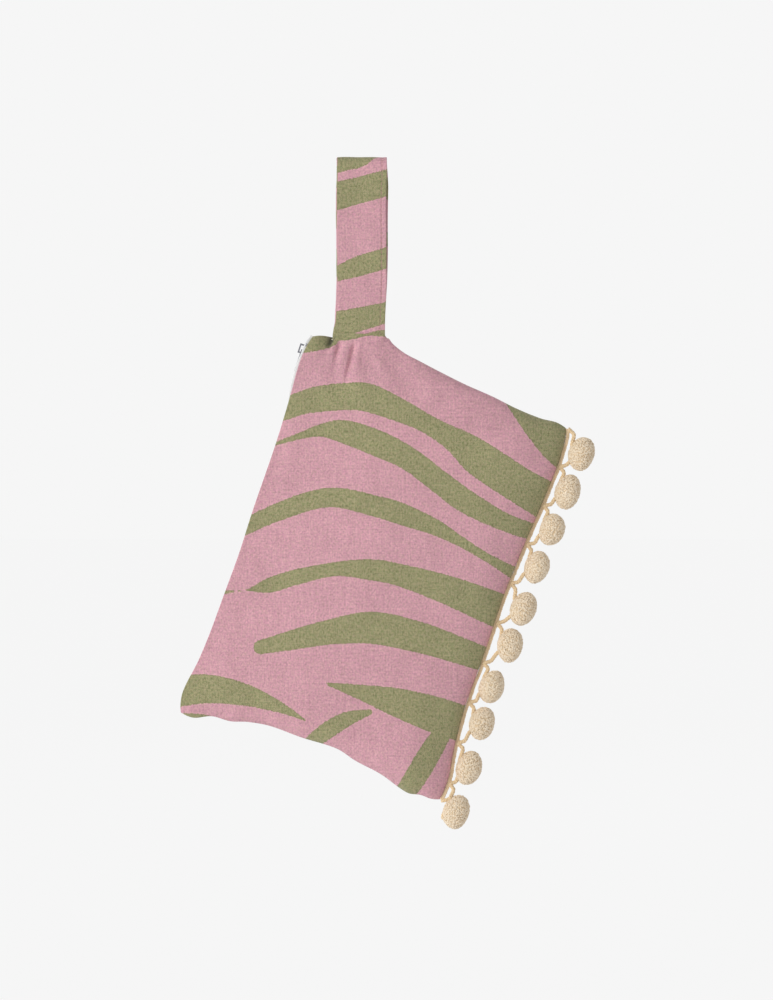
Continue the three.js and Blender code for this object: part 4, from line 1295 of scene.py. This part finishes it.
def twisted_cord(path, phase):
    """Yarns twisted round each other along a path."""
    points, length = spaced(path, CORD_POINTS)
    side, up = frames_along(points)
    yarns = []
    for k in range(CORD_YARNS):
        turn = (2 * math.pi * (length / MM / CORD_TWIST + k / CORD_YARNS) + phase)[:, None]
        yarn_path = points + (side * np.cos(turn) + up * np.sin(turn)) * CORD_STRAND * 0.9 * MM
        yarns.append(tube(yarn_path, CORD_STRAND * MM, 7))
    return merged(*yarns)


def pompom_shape(centre, seed):
    """An egg of cut yarns, each a little bundle that flares to its end, round a core. It is longest down the
    pouch. tone differs from yarn to yarn, and depth runs from 0 deep between the yarns to 1 at their ends; it
    sets where shade is painted into the yarn."""
    random = np.random.RandomState(seed)
    stretch = np.array((1, 1, POM_STRETCH))
    index = np.arange(TUFTS) + 0.5
    height = 1 - 2 * index / TUFTS
    turn = math.pi * (1 + 5**0.5) * index
    ring = np.sqrt(1 - height**2)
    direction = np.stack([ring * np.cos(turn), height, ring * np.sin(turn)], -1)
    direction = unit(direction + random.normal(0, TUFT_SPREAD, direction.shape))
    lumps = unit(random.normal(0, 1, (POM_LUMPS, 3)))
    rises = random.uniform(-POM_LUMP_RISE, POM_LUMP_RISE, POM_LUMPS)
    swell = lambda way: 1 + np.maximum(way @ lumps.T, 0) ** 4 @ rises
    reach = POM_RADIUS * swell(direction) * random.normal(1, TUFT_REACH, TUFTS)
    tilt = unit(direction / stretch + random.normal(0, TUFT_LEAN, direction.shape))
    side = unit(np.cross(tilt, random.normal(0, 1, direction.shape)))
    up = np.cross(tilt, side)
    profile = [(-2.6, 0), (-2.4, 0.4), (-1, 0.6), (-0.35, 0.84), (0, 0.8), (0.13, 0.5), (0.18, 0)]
    yarns = lathe(profile, TUFT_SIDES)
    girth = random.uniform(0.82, 1.2, (TUFTS, 1))
    squeeze = random.uniform(0.8, 1.25, (TUFTS, 1))
    axes = np.stack([tilt, side * girth * squeeze, up * girth / squeeze], 1)
    points, faces = copies(yarns, direction * stretch * reach[:, None], axes)
    angles = np.linspace(0.15, math.pi - 0.15, 17)
    core = lathe([(-1, 0), *((-math.cos(t), math.sin(t)) for t in angles), (1, 0)], 24)
    core_points = core[0] * stretch * (POM_RADIUS * swell(core[0]) - CORE_INSET)[:, None]
    points, faces = merged((points, faces), (core_points, core[1]))
    tone = np.concatenate([np.repeat(random.uniform(0, 1, TUFTS), len(yarns[0])), np.zeros(len(core_points))])
    # depth is low down each yarn towards the core, for the shade painted between the yarns
    tips = np.clip((yarns[0][:, 0] + 0.9) / 0.9, 0, 1)
    depth = np.concatenate([np.tile(tips, TUFTS), np.zeros(len(core_points))])
    axes_of_pouch = np.stack([INTO_AXIS, -ACROSS_AXIS, DOWN_AXIS])
    return centre + points @ axes_of_pouch * MM, faces, tone, depth


pom_pitch = (POUCH_LENGTH + POM_OVERHANG) / POM_COUNT
loop_out = RUNNING_GAP + BRAID_WIDTH + RUNNING_GAP + LOOP_RADIUS
make_braid()
for pom in range(POM_COUNT):
    number = f"{pom + 1:02d}"
    cord_path, pom_centre, bend_start, bend_end = scallop(pom)
    cord = mesh_from(f"pompom_cord_{number}", *twisted_cord(cord_path, pom * CORD_TURN))
    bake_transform(cord)
    dress(cord, cord_material, None, "trim_yarn", f"pompom_loop_{number}")
    shape_points, shape_faces, yarn_tone, yarn_depth = pompom_shape(pom_centre, POM_SEED + pom)
    ball = mesh_from(f"pompom_ball_{number}", shape_points, shape_faces, tone=yarn_tone, depth=yarn_depth)
    dress(ball, pom_material, f"pom_{number}", "pompom_yarn", f"pompom_{number}")


# Floor, light and camera

SCENE_CENTRE_X = 0.018
SCENE_CENTRE_Z = -0.2448
VIEW_HEIGHT = 0.718
CAMERA_DISTANCE = 2.0
FLOOR_DROP = 0.62
FLOOR_GLOW = 0.985
FLOOR_REACH = 25
BACKGROUND = srgb(246, 246, 246)
SKY_STRENGTH = 0.58
# Each lamp's name, place, diameter and power
LAMPS = [
    ("key", (-1.8, -1.4, 0.2), 0.9, 31),
    ("fill", (1.5, -1.5, -0.3), 1.4, 2.3),
    ("rim", (0.3, 1.8, 0.9), 1.2, 16),
]
LAMP_TARGET = (0.02, 0, -0.25)


def make_lamp(name, place, size, power):
    lamp = bpy.data.lights.new(name, "AREA")
    lamp.shape = "DISK"
    lamp.size = size
    lamp.energy = power
    piece = add_object(name, lamp)
    piece.location = place
    x, y, z = unit(np.array(LAMP_TARGET) - np.array(piece.location))
    piece.rotation_euler = (math.acos(-z), 0, math.atan2(-x, y))


def make_floor():
    graph = Graph("Floor", Roughness=1.0, Base_Color=BACKGROUND, Specular_IOR_Level=0.0)
    glow = graph.node("ShaderNodeEmission", {"Color": BACKGROUND, "Strength": 1.0}).outputs[0]
    share = graph.times(graph.shown(), FLOOR_GLOW)
    mixed = graph.node("ShaderNodeMixShader", {0: share, 1: graph.shader.outputs[0], 2: glow}).outputs[0]
    graph.put(graph.tree.nodes["Material Output"].inputs["Surface"], mixed)
    corners = np.array([(-1, -1), (1, -1), (1, 1), (-1, 1)]) * FLOOR_REACH
    floor = mesh_from("floor", [(x, y, -FLOOR_DROP) for x, y in corners], [[0, 1, 2, 3]])
    floor.data.materials.append(graph.material)
    floor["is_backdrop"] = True


def make_world():
    world = bpy.data.worlds.new("Studio")
    bpy.context.scene.world = world
    world.use_nodes = True
    world.node_tree.nodes.clear()
    graph = Nodes(world.node_tree)
    light, seen = (
        graph.node("ShaderNodeBackground", {"Color": color, "Strength": strength}).outputs[0]
        for color, strength in (((1, 1, 1, 1), SKY_STRENGTH), (BACKGROUND, 1.0))
    )
    mixed = graph.node("ShaderNodeMixShader", {0: graph.shown(), 1: light, 2: seen}).outputs[0]
    graph.node("ShaderNodeOutputWorld", {"Surface": mixed})


def make_camera():
    lens = bpy.data.cameras.new("Camera")
    lens.sensor_width = 36
    lens.lens = lens.sensor_width * CAMERA_DISTANCE / VIEW_HEIGHT
    lens.clip_end = 30
    camera = add_object("Camera", lens)
    camera.location = (SCENE_CENTRE_X, -CAMERA_DISTANCE, SCENE_CENTRE_Z)
    camera.rotation_euler = (math.pi / 2, 0, 0)
    bpy.context.scene.camera = camera


make_floor()
make_world()
make_camera()
for lamp_values in LAMPS:
    make_lamp(*lamp_values)
bpy.context.scene.view_settings.view_transform = "Standard"

visual_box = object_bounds()
boxes = {"cad": cad_box, "visual": visual_box}
{name: [list(corner) for corner in box] for name, box in boxes.items()}
